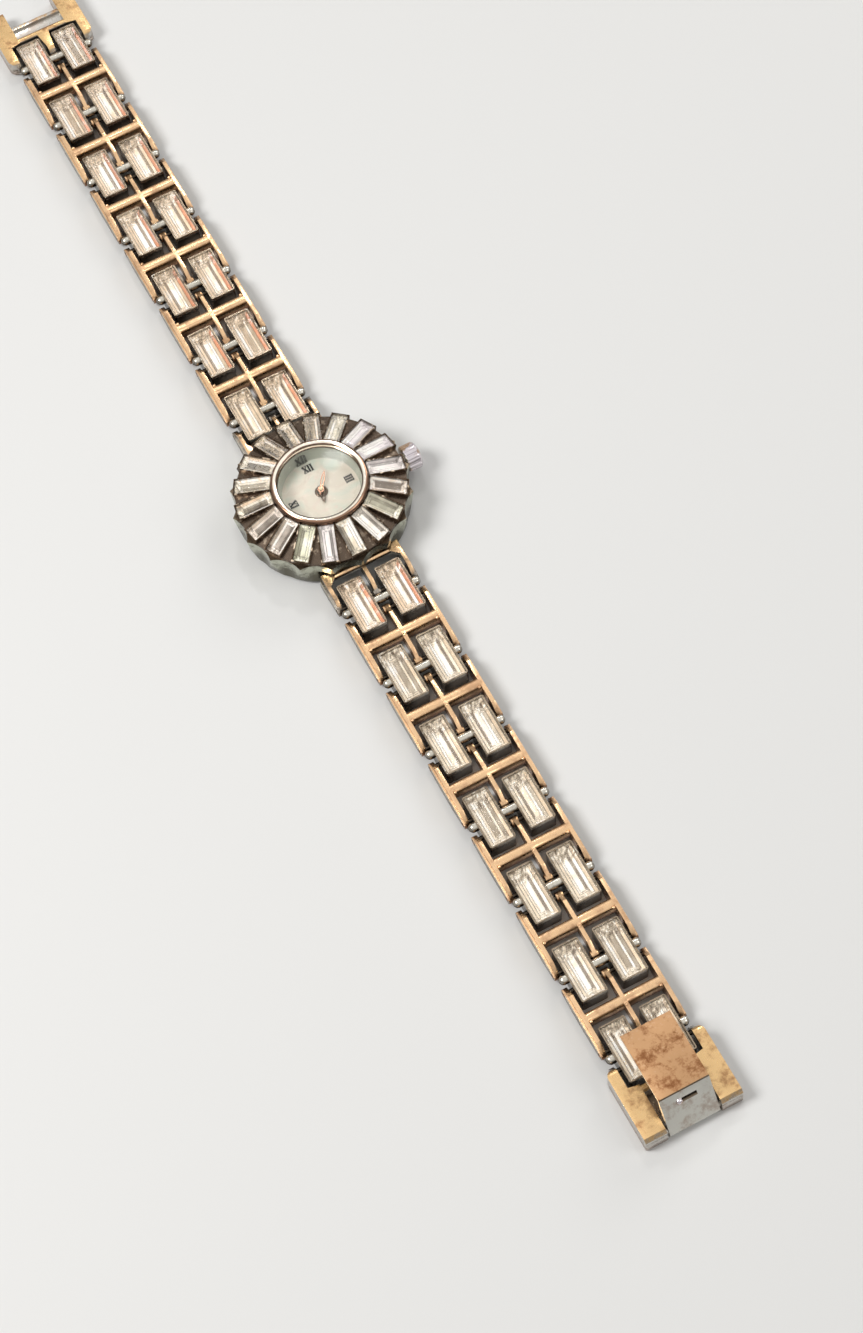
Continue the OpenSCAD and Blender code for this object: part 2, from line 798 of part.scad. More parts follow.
// The fluted crown with a domed end, hollow for the stem
module crown() {
    color(silver)
        translate([crown_x, 0, crown_z])
            rotate([0, 90, 0])
                difference() {
                    rotate_extrude($fn = 64)
                        polygon([
                            [stem_r + 0.03, 0], [crown_d / 2 - 0.15, 0], [crown_d / 2, 0.15],
                            [crown_d / 2, crown_l - 0.35], [crown_d / 2 - 0.3, crown_l - 0.08],
                            [crown_d / 2 - 0.7, crown_l], [0, crown_l],
                            [0, crown_l - crown_cap], [stem_r + 0.03, crown_l - crown_cap]
                        ]);
                    for (i = [0:crown_flutes - 1])
                        rotate([0, 0, i * 360 / crown_flutes])
                            translate([crown_d / 2 + crown_flute_r * 0.4, 0, -1])
                                cylinder(h = crown_l - 0.4 + 1, r = crown_flute_r, $fn = 16);
                }
}

// Plan outline of a clasp cheek, round at its head end and wide to the clasp's end
function cheek_plan(reach) = concat(
    [[rail_x + 0.05, last_pin_y], [rail_x + 0.05, cup_end_y + 0.35], [cheek_x, cup_end_y + 0.6]],
    [[cheek_x, reach], [cheek_half - 0.15, reach], [cheek_half, reach - 0.15]],
    arc(cheek_half - 1, last_pin_y + 0.9, 1, 0, -80, 5)
);

// Side outline of a cheek: a knuckle on the pin, then a full-height block with a stepped end
function cheek_side(reach) = concat(
    arc(last_pin_y, pin_z, knuckle_r, 130, 260, 7),
    [[last_pin_y + 2, 0], [reach - 0.3, 0], [reach, 0.3], [reach, 1.25], [reach - 0.16, 1.35]],
    [[reach - 0.16, frame_top - 0.5], [reach - 0.6, frame_top], [last_pin_y + 0.6, frame_top]],
    arc(last_pin_y + 0.6, frame_top - 0.7, 0.7, 90, 150, 4)
);

// Both cheeks of a clasp piece
module cheeks(reach) {
    for (s = [0, 1])
        mirror([s, 0, 0])
            intersection() {
                linear_extrude(height = frame_top)
                    polygon(concat(
                        [[rail_x, last_pin_y - 1]], cheek_plan(reach), [[half_w, last_pin_y - 1]]
                    ));
                across(rail_x - 3, cheek_half)
                    polygon(cheek_side(reach));
            }
}

// Plan outline of the tapered middle arm
function arm_plan() = [
    [-spine_knuckle_w / 2, last_pin_y - 1], [spine_knuckle_w / 2, last_pin_y - 1],
    [spine_knuckle_w / 2, last_pin_y + 0.6], [0.85, clasp_bar_y - 0.4], [0.85, clasp_bar_y],
    [-0.85, clasp_bar_y], [-0.85, clasp_bar_y - 0.4], [-spine_knuckle_w / 2, last_pin_y + 0.6]
];

// The part that both clasp pieces share: cheeks, arm and crossbar
module clasp_base(reach, bar_w) {
    cheeks(reach);
    intersection() {
        linear_extrude(height = frame_top)
            polygon(arm_plan());
        across(-1, 2)
            polygon(cheek_side(reach));
    }
    translate([0, clasp_bar_y, 0])
        across(-cheek_x - eps, 2 * cheek_x + 2 * eps)
            polygon(bar_section(bar_w, crossbar_h, frame_top));
}

// The two holes for the last cell's outer pin
module last_pin_bore() {
    rod(-half_w - 1, last_pin_y, pin_z, bracelet_w + 2, pin_r + pin_clear);
}

// The catch at the twelve o'clock end: a plate with a raised edge between the cheeks
module clasp_catch() {
    span = 2 * cheek_x + 2 * eps;
    color(gold)
        half(twelve)
            difference() {
                union() {
                    clasp_base(end_y, catch_bar_w);
                    translate([-cheek_x - eps, clasp_bar_y, floor_z])
                        cube([span, catch_plate_l, catch_plate_h]);
                    translate([-cheek_x - eps, clasp_bar_y + catch_plate_l - catch_edge, floor_z])
                        cube([span, catch_edge, catch_plate_h + catch_edge]);
                }
                last_pin_bore();
            }
}

// The clasp frame at the six o'clock end, with the lever's pin in it
module clasp_frame() {
    pin_l = clasp_w - 0.4;
    color(gold)
        half(six) {
            difference() {
                union() {
                    clasp_base(end_y, crossbar_w);
                    translate([-cheek_x - eps, clasp_bar_y - 0.3, floor_z])
                        cube([2 * cheek_x + 2 * eps, end_y - clasp_bar_y - 1.7, floor_t]);
                }
                last_pin_bore();
                rod(-pin_l / 2 - 0.05, lever_pin_y, lever_pin_z, pin_l + 0.1, lever_pin_d / 2 + press_gap);
            }
            rod(-pin_l / 2, lever_pin_y, lever_pin_z, pin_l, lever_pin_d / 2);
        }
}

// Side outline of the lever: a leaning front wall and a long plate back over the last cell
function lever_side() = [
    [end_y - 0.25, lever_pin_z], [end_y - 0.02, lever_pin_z + 0.2],
    [end_y - lever_lean, lever_top - 0.1], [end_y - lever_lean - 0.15, lever_top],
    [end_y - lever_lean - lever_l, lever_top], [end_y - lever_lean - lever_l, lever_top - lever_t],
    [end_y - lever_lean - 0.35, lever_top - lever_t], [end_y - lever_barrel_r - 0.25, lever_pin_z + 0.4],
    [end_y - lever_barrel_r, lever_pin_z]
];

// The folding lever, with the narrow slot in its front wall
module clasp_lever() {
    slot_z = lever_top - 1.5;
    color([0.62, 0.5, 0.38])
        half(six)
            difference() {
                union() {
                    across(-lever_half, lever_w)
                        polygon(lever_side());
                    rod(-lever_half, lever_pin_y, lever_pin_z, lever_w, lever_barrel_r);
                }
                rod(-lever_half - 1, lever_pin_y, lever_pin_z, lever_w + 2, lever_pin_d / 2 + pin_clear);
                translate([-0.6, end_y - lever_lean - 2, slot_z])
                    cube([1.9, 4, 0.55]);
            }
}

case_body();
case_back();
back_gasket();
stone_setting();
bezel_stones();
bezel_ring();
crystal();
dial();
movement();
battery();
hour_hand();
minute_hand();
stem();
crown();
lug_bars();
end_piece(twelve);  // end_piece_twelve
end_piece(six);  // end_piece_six
for (k = [1:cells]) {
    link(twelve, k);
    link(six, k);
    stones(twelve, k);
    stones(six, k);
}
for (k = [1:cells - 1]) {
    frame(twelve, k);
    frame(six, k);
}
clasp_catch();
clasp_frame();
clasp_lever();
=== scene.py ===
"""The looks of a ladies' cocktail watch: a stone-set head on an open bracelet of baguettes.

The watch lies opened out on a pale table. Lengths are written in millimetres and turned
into metres where a mesh is made, and each piece rides on the body that carries it.
"""

import json
import logging
import math
import random
from collections.abc import Callable
from dataclasses import dataclass, field, replace
from enum import Enum

import bmesh
import bpy
from mathutils import Matrix, Vector


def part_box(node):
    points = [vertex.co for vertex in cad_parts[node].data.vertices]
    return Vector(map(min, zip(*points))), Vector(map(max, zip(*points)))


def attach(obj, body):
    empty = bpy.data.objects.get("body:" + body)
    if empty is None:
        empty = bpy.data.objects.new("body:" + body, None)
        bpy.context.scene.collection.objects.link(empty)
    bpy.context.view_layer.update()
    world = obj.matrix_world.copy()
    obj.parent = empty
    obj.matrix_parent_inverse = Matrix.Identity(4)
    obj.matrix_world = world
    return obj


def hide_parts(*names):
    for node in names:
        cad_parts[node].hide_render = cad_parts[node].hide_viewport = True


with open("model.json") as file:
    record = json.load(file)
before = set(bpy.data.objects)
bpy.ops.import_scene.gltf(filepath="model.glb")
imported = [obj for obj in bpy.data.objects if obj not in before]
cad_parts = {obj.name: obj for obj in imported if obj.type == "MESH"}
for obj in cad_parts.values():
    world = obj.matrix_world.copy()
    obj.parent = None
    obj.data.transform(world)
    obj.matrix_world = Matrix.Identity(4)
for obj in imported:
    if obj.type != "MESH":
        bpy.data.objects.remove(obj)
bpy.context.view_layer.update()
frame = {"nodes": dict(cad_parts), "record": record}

LOG = logging.getLogger("cocktail_watch")
MM = 0.001
CELLS = 7
Colour = tuple[float, float, float]
Span = tuple[float, float]
Profile = tuple[tuple[float, float], ...]
Mesh = bmesh.types.BMesh
Socket = bpy.types.NodeSocket
Groups = dict[str, bpy.types.NodeTree]

# Names of the layers that a stone's backing carries to its finish.
TONE, TINT, CUT = "tone", "tint", "cut"


class Half(Enum):
    """The two halves of the bracelet, named for the hour that each one leaves from."""

    TWELVE = "twelve"
    SIX = "six"


class Coat(Enum):
    """How a plated finish is spread over a piece."""

    ALL_OVER = 0.0
    TOPS_ONLY = 1.0


# ---- Shader wiring ----------------------------------------------------------------------


@dataclass
class Wiring:
    """Adds nodes to one shader tree and fills or links their inputs."""

    tree: bpy.types.NodeTree

    def fill(self, target: Socket, value: object) -> None:
        """Links a socket to an input, or sets the input's own value.

        Args:
            target: the input.
            value: a socket, a number, a vector or a colour.
        """
        if isinstance(value, Socket):
            self.tree.links.new(value, target)
        elif isinstance(value, tuple) and len(value) == 3 and len(target.default_value) == 4:
            target.default_value = (*value, 1.0)
        else:
            target.default_value = value

    def node(self, kind: str, **inputs: object) -> bpy.types.Node:
        """Adds a node.

        Args:
            kind: the node's type without the ShaderNode prefix.
            **inputs: lower-case names are attributes, i0, i1 ... are inputs by number, and
                the others are inputs by name, with _ for spaces.

        Returns:
            The new node.
        """
        made = self.tree.nodes.new("ShaderNode" + kind)
        numbered = [name for name in inputs if name[0] == "i" and name[1:].isdigit()]
        for name, value in inputs.items():
            if name[0].islower() and name not in numbered:
                setattr(made, name, value)
        for name, value in inputs.items():
            if name in numbered:
                self.fill(made.inputs[int(name[1:])], value)
            elif name[0].isupper():
                self.fill(made.inputs[name.replace("_", " ")], value)
        return made

    def math(self, operation: str, *values: object) -> Socket:
        """Works a sum on numbers or sockets, given in the Math node's order."""
        inputs = {f"i{number}": value for number, value in enumerate(values)}
        return self.node("Math", operation=operation, **inputs).outputs[0]

    def mix(self, factor: object, first: object, second: object) -> Socket:
        """Mixes two colours, the first at factor 0 and the second at 1."""
        return self.node("Mix", data_type="RGBA", i0=factor, i6=first, i7=second).outputs[2]

    def ranged(self, value: Socket, span: Span, to: Span = (0.0, 1.0)) -> Socket:
        """Maps a span of a value smoothly onto another span.

        Args:
            value: the value.
            span: the values that give the first and the last result.
            to: the two results.

        Returns:
            The mapped value.
        """
        return self.node(
            "MapRange", interpolation_type="SMOOTHSTEP", Value=value,
            From_Min=span[0], From_Max=span[1], To_Min=to[0], To_Max=to[1],
        ).outputs[0]

    def noise(
        self, at: Socket, scale: object, detail: float, rough: float = 0.5, bent: float = 0.0
    ) -> Socket:
        """A cloudy value about one half.

        Args:
            at: the place that it is read at.
            scale: clouds for each metre, or for each unit of the stone's own map.
            detail: the number of finer layers.
            rough: the strength of the finer layers.
            bent: how far the clouds are distorted.

        Returns:
            The value.
        """
        return self.node(
            "TexNoise", Vector=at, Scale=scale, Detail=detail, Roughness=rough, Distortion=bent
        ).outputs[0]

    def swayed(self, base: Socket, cloud: Socket, amount: object) -> Socket:
        """Moves a value up and down by a cloudy value."""
        return self.math("MULTIPLY_ADD", self.math("SUBTRACT", cloud, 0.5), amount, base)

    def reach(self, at: Socket) -> Socket:
        """The distance of a place from the watch's upright axis."""
        flat = self.node("VectorMath", operation="MULTIPLY", i0=at, i1=(1.0, 1.0, 0.0))
        return self.node("VectorMath", operation="LENGTH", i0=flat.outputs[0]).outputs["Value"]


@dataclass
class ShaderGroup(Wiring):
    """A shared shader group, with its colours and numbers coming in by name."""

    tree: bpy.types.NodeTree = field(init=False)
    name: str
    colours: tuple[str, ...]
    numbers: tuple[str, ...]
    given: bpy.types.bpy_prop_collection = field(init=False)

    def __post_init__(self) -> None:
        """Opens the group with its inputs."""
        self.tree = bpy.data.node_groups.new(self.name, "ShaderNodeTree")
        for kind, names in (("Color", self.colours), ("Float", self.numbers)):
            for name in names:
                self.add_socket(name, "INPUT", kind)
        self.given = self.tree.nodes.new("NodeGroupInput").outputs

    def add_socket(self, name: str, way: str, kind: str) -> None:
        """Adds a socket of a kind, Color or Float, on the INPUT or OUTPUT side."""
        self.tree.interface.new_socket(name=name, in_out=way, socket_type="NodeSocket" + kind)

    def give(self, **results: Socket) -> bpy.types.NodeTree:
        """Puts the results out by name: Color is a colour, and the others are numbers.

        Args:
            **results: the sockets to put out.

        Returns:
            The finished group.
        """
        for name in results:
            self.add_socket(name, "OUTPUT", "Color" if name == "Color" else "Float")
        outlet = self.tree.nodes.new("NodeGroupOutput")
        for name, source in results.items():
            self.tree.links.new(source, outlet.inputs[name])
        return self.tree


@dataclass
class Surface(Wiring):
    """A material with a lone shader, and the shared groups that it may use."""

    tree: bpy.types.NodeTree = field(init=False)
    name: str
    groups: Groups = field(default_factory=dict)
    material: bpy.types.Material = field(init=False)
    shader: bpy.types.Node = field(init=False)

    def __post_init__(self) -> None:
        """Opens the material."""
        self.material = bpy.data.materials.new(self.name)
        self.material.use_nodes = True
        self.tree = self.material.node_tree
        self.tree.nodes.clear()
        self.shader = self.node("BsdfPrincipled")
        self.node("OutputMaterial", i0=self.shader.outputs[0])

    def shade(self, **inputs: object) -> None:
        """Fills or links the shader's inputs, named with _ for spaces."""
        for name, value in inputs.items():
            self.fill(self.shader.inputs[name.replace("_", " ")], value)

    def grouped(self, group: str, **inputs: object) -> bpy.types.bpy_prop_collection:
        """Places a shared group, fills its inputs and hands over its results."""
        return self.node("Group", node_tree=self.groups[group], **inputs).outputs

    def object_place(self) -> Socket:
        """The place on the piece, in metres."""
        return self.node("TexCoord").outputs["Object"]


PLATE_NUMBERS = (
    "Tops Only", "Top Edge", "Plate Foot", "Wear", "Stain", "Grime", "Grime Top", "Grime Depth",
    "Ragged", "Cone", "Patch Scale", "Polish",
)
SPECK_RATIO = 4.1
GRAIN_SCALE = 15000.0
TOP_SPAN = (-0.15, 0.15)
FOOT_SPAN = (-0.1 * MM, 0.2 * MM)
WORN_SPAN = (0.72, 0.80)
BLOTCH_SPAN = (0.46, 0.64)
BARE_CLEANER = -0.55


def worn_plate_group() -> bpy.types.NodeTree:
    """Plating over a base metal: worn patches, tarnish blotches, painted shade low down and fine
    grain.

    Heights are in metres above the table, or above a cone that falls away from the middle
    by Cone. Plating keeps to faces that look up by more than Top Edge and lie above Plate
    Foot, as far as Tops Only says. Below a given top height the colour darkens, over a given
    depth, towards the dark colour: painted shade.

    Returns:
        The group, which puts out Color, Roughness and Height.
    """
    # The third colour is both the tarnish blotches' colour and the painted shade's.
    made = ShaderGroup("worn_plate", ("Plate", "Base", "Tarnish"), PLATE_NUMBERS)
    given, maths = made.given, made.math
    place = made.node("TexCoord").outputs
    at = place["Object"]
    patches = made.noise(at, given["Patch Scale"], 4.0, 0.58)
    specks = made.noise(at, maths("MULTIPLY", given["Patch Scale"], SPECK_RATIO), 4.0, 0.7)
    grain = made.noise(at, GRAIN_SCALE, 2.0, 0.6)
    up = made.node("SeparateXYZ", Vector=place["Normal"]).outputs["Z"]
    height = made.node("SeparateXYZ", Vector=at).outputs["Z"]
    facing = maths("SUBTRACT", made.swayed(up, specks, 0.5), given["Top Edge"])
    level = maths("MULTIPLY_ADD", made.reach(at), given["Cone"], height)
    ragged = made.swayed(level, specks, given["Ragged"])
    raised = made.ranged(maths("SUBTRACT", ragged, given["Plate Foot"]), FOOT_SPAN)
    plated = maths("MULTIPLY", made.ranged(facing, TOP_SPAN), raised)
    side = maths("MULTIPLY", maths("SUBTRACT", 1.0, plated), given["Tops Only"])
    worn = made.ranged(maths("ADD", patches, given["Wear"]), WORN_SPAN)
    bare = maths("MAXIMUM", side, worn)
    blend = maths("MULTIPLY_ADD", patches, 0.65, maths("MULTIPLY", specks, 0.35))
    blotches = maths("MULTIPLY", made.ranged(blend, BLOTCH_SPAN), given["Stain"])
    stain = maths("MULTIPLY", blotches, maths("MULTIPLY_ADD", bare, BARE_CLEANER, 1.0))
    # Painted shade: below the top height the colour darkens towards the dark colour.
    drop = maths("DIVIDE", maths("SUBTRACT", given["Grime Top"], ragged), given["Grime Depth"])
    grime = maths("MULTIPLY", made.ranged(drop, (0.0, 1.0)), given["Grime"])
    metal = made.mix(bare, given["Plate"], given["Base"])
    haze = maths("MULTIPLY_ADD", specks, 0.2, given["Polish"])
    return made.give(
        Color=made.mix(maths("MAXIMUM", stain, grime), metal, given["Tarnish"]),
        Roughness=maths("MULTIPLY_ADD", stain, 0.3, haze),
        Height=maths("MULTIPLY_ADD", specks, 0.7, grain),
    )


STREAK_STRETCH = (7.0, 0.8, 1.0)
MOTTLE_MIDDLE = 0.54
END_SPAN = (0.03, 0.08)
HIGHLIGHT_SPAN = (0.98, 1.15)
CONTRAST = 1.8


def facet_group() -> bpy.types.NodeTree:
    """The backing of a cut stone: each facet's tone, streaks along it and a mottled far end;
    the tones and streaks are painted reflections, and tones past full a painted highlight.

    The tone layer holds brightness, nothing, mottling and the place along the stone; the
    tint layer holds each facet's colour.

    Returns:
        The group, which puts out Color and Roughness.
    """
    numbers = ("Streak", "Mottle", "Far End", "Drift")
    made = ShaderGroup("facet_backing", ("Light", "Shade", "Flash"), numbers)
    given, maths = made.given, made.math
    tone = made.node("Attribute", attribute_name=TONE).outputs
    tint = made.node("Attribute", attribute_name=TINT).outputs["Color"]
    brightness, _, speckle = made.node("SeparateColor", Color=tone["Color"]).outputs
    cut = made.node("UVMap", uv_map=CUT).outputs[0]
    along = made.node("Mapping", Vector=cut, Scale=STREAK_STRETCH).outputs[0]
    streaks = made.noise(along, 1.0, 3.0, 0.6)
    mottle = made.noise(cut, 2.2, 4.0, 0.66, 1.0)
    drift = made.noise(cut, 0.5, 2.0)
    past_end = maths("SUBTRACT", tone["Alpha"], given["Far End"])
    end = made.ranged(maths("MULTIPLY_ADD", mottle, 0.1, past_end), END_SPAN)
    amount = maths("MULTIPLY", maths("MAXIMUM", speckle, end), given["Mottle"])
    line = maths("MULTIPLY", maths("SUBTRACT", streaks, 0.5), given["Streak"])
    spot = maths("MULTIPLY", maths("SUBTRACT", mottle, MOTTLE_MIDDLE), amount)
    slow = made.swayed(brightness, drift, given["Drift"])
    shade = maths("ADD", maths("ADD", slow, line), spot)
    held = maths("POWER", maths("MINIMUM", maths("MAXIMUM", shade, 0.0), 1.0), CONTRAST)
    lit = made.node(
        "Mix", data_type="RGBA", blend_type="MULTIPLY", i0=1.0, i6=given["Light"], i7=tint
    ).outputs[2]
    base = made.mix(held, given["Shade"], lit)
    return made.give(
        # Tones past full turn into the painted highlight colour.
        Color=made.mix(made.ranged(shade, HIGHLIGHT_SPAN), base, given["Flash"]),
        Roughness=made.ranged(streaks, (0.3, 0.7), (0.3, 0.45)),
    )


def pearl_group() -> bpy.types.NodeTree:
    """Mother-of-pearl: cream with faint green and rose clouds and hairline veins.

    Returns:
        The group, which puts out Color and Roughness.
    """
    made = ShaderGroup("pearl_cloud", ("Cream", "Green", "Rose", "Vein"), ())
    given = made.given
    at = made.node("TexCoord").outputs["Object"]
    cloud = made.noise(at, 260.0, 3.0, bent=0.9)
    other = made.noise(at, 420.0, 2.0, bent=1.4)
    edges = made.node("TexVoronoi", feature="DISTANCE_TO_EDGE", Vector=at, Scale=190.0)
    green = made.mix(made.ranged(cloud, (0.42, 0.68)), given["Cream"], given["Green"])
    rose = made.mix(made.ranged(other, (0.5, 0.75), (0.0, 0.7)), green, given["Rose"])
    vein = made.ranged(edges.outputs[0], (0.0, 0.012), (0.16, 0.0))
    return made.give(
        Color=made.mix(vein, rose, given["Vein"]),
        Roughness=made.ranged(cloud, (0.3, 0.7), (0.22, 0.4)),
    )


# ---- Finishes ---------------------------------------------------------------------------


@dataclass(frozen=True)
class Finish:
    """A named finish."""

    name: str

    def material(self, groups: Groups) -> bpy.types.Material:
        """Makes the finish's material.

        Args:
            groups: the shared shader groups by name.

        Returns:
            The material.
        """
        surface = Surface(self.name, groups)
        self.dress(surface)
        return surface.material

    def dress(self, surface: Surface) -> None:
        """Wires the surface's shader; each kind of finish has its own way."""
        raise NotImplementedError(self.name)


@dataclass(frozen=True)
class Plated(Finish):
    """A plated metal with wear, tarnish and painted shade low down; heights are in millimetres."""

    plate: Colour
    base: Colour
    tarnish: Colour
    coat: Coat = Coat.ALL_OVER
    top_edge: float = 0.4
    plate_foot: float = -10.0
    wear: float = 0.1
    stain: float = 0.25
    # Painted shade low down: its strength, its top height and its depth.
    grime: float = 0.0
    grime_top: float = 2.2
    grime_depth: float = 1.1
    ragged: float = 1.2
    cone: float = 0.0
    patch_scale: float = 500.0
    polish: float = 0.16
    relief: float = 0.003

    def dress(self, surface: Surface) -> None:
        """Wires the metal.

        Args:
            surface: the surface.
        """
        worn = surface.grouped(
            "worn_plate", Plate=self.plate, Base=self.base, Tarnish=self.tarnish,
            Tops_Only=self.coat.value, Top_Edge=self.top_edge, Plate_Foot=self.plate_foot * MM,
            Wear=self.wear, Stain=self.stain, Grime=self.grime, Grime_Top=self.grime_top * MM,
            Grime_Depth=self.grime_depth * MM, Ragged=self.ragged * MM, Cone=self.cone,
            Patch_Scale=self.patch_scale, Polish=self.polish,
        )
        bump = surface.node("Bump", Strength=0.5, Distance=self.relief * MM, Height=worn["Height"])
        surface.shade(
            Metallic=1.0, Base_Color=worn["Color"], Roughness=worn["Roughness"],
            Normal=bump.outputs[0],
        )


@dataclass(frozen=True)
class TurnedBands(Finish):
    """A turned and polished ring whose colour changes from its bore to its rim."""

    bands: tuple[tuple[float, Colour], ...]
    polish: float = 0.09
    sway: float = 0.3

    def dress(self, surface: Surface) -> None:
        """Wires the metal, with a ramp over the distance from the axis.

        Args:
            surface: the surface.
        """
        at = surface.object_place()
        drift = surface.noise(at, 320.0, 3.0)
        reach = surface.swayed(surface.reach(at), drift, self.sway * MM)
        (bore, first), *middle, (rim, last) = self.bands
        along = surface.math("SUBTRACT", reach, bore * MM)
        ramp = surface.node("ValToRGB", Fac=surface.math("DIVIDE", along, (rim - bore) * MM))
        stops = ramp.color_ramp.elements
        stops[0].color = (*first, 1.0)
        stops[1].color = (*last, 1.0)
        for radius, colour in middle:
            stops.new((radius - bore) / (rim - bore)).color = (*colour, 1.0)
        shine = surface.ranged(drift, (0.3, 0.7), (self.polish, self.polish * 2.2))
        surface.shade(Metallic=1.0, Base_Color=ramp.outputs[0], Roughness=shine)


@dataclass(frozen=True)
class Backing(Finish):
    """The foiled back of a cut stone, seen through it: painted reflections and highlights, and a
    faint glow of painted light.
    """

    light: Colour
    shade: Colour
    flash: Colour
    streak: float = 0.5
    mottle: float = 3.0
    far_end: float = 0.74
    drift: float = 0.5
    # A faint glow in the foil's own colour: painted light.
    glow: float = 0.12

    def dress(self, surface: Surface) -> None:
        """Wires the foil.

        Args:
            surface: the surface.
        """
        facet = surface.grouped(
            "facet_backing", Light=self.light, Shade=self.shade, Flash=self.flash,
            Streak=self.streak, Mottle=self.mottle, Far_End=self.far_end, Drift=self.drift,
        )
        # Painted light: the foil glows faintly in its own colour.
        surface.shade(
            Base_Color=facet["Color"], Emission_Color=facet["Color"], Roughness=facet["Roughness"],
            Emission_Strength=self.glow, Specular_IOR_Level=0.25,
        )


@dataclass(frozen=True)
class Clear(Finish):
    """Clear glass or crystal, thin enough to let the light through to what it covers."""

    tint: Colour
    alpha: float
    bend: float = 1.54
    coat: float = 0.0
    roughness: float = 0.015

    def dress(self, surface: Surface) -> None:
        """Wires the glass, with a faint smear.

        Args:
            surface: the surface.
        """
        smear = surface.noise(surface.object_place(), 700.0, 3.0)
        surface.shade(
            Base_Color=self.tint, IOR=self.bend, Transmission_Weight=1.0, Alpha=self.alpha,
            Coat_Weight=self.coat, Coat_Roughness=0.1,
            Roughness=surface.ranged(smear, (0.35, 0.75), (self.roughness, self.roughness * 4)),
        )


@dataclass(frozen=True)
class Pearl(Finish):
    """The dial's mother-of-pearl under a thin lacquer."""

    cream: Colour
    green: Colour
    rose: Colour
    vein: Colour

    def dress(self, surface: Surface) -> None:
        """Wires the pearl.

        Args:
            surface: the surface.
        """
        cloud = surface.grouped(
            "pearl_cloud", Cream=self.cream, Green=self.green, Rose=self.rose, Vein=self.vein
        )
        surface.shade(
            Base_Color=cloud["Color"], Roughness=cloud["Roughness"],
            Coat_Weight=0.5, Coat_Roughness=0.08,
        )


@dataclass(frozen=True)
class Plain(Finish):
    """A printed, rubber or painted surface with a faint grain."""

    colour: Colour
    roughness: float = 0.5
    grain: float = 0.12

    def dress(self, surface: Surface) -> None:
        """Wires the paint.

        Args:
            surface: the surface.
        """
        noise = surface.noise(surface.object_place(), 2600.0, 3.0)
        darker = tuple(part * (1.0 - self.grain) for part in self.colour)
        surface.shade(Base_Color=surface.mix(noise, self.colour, darker), Roughness=self.roughness)


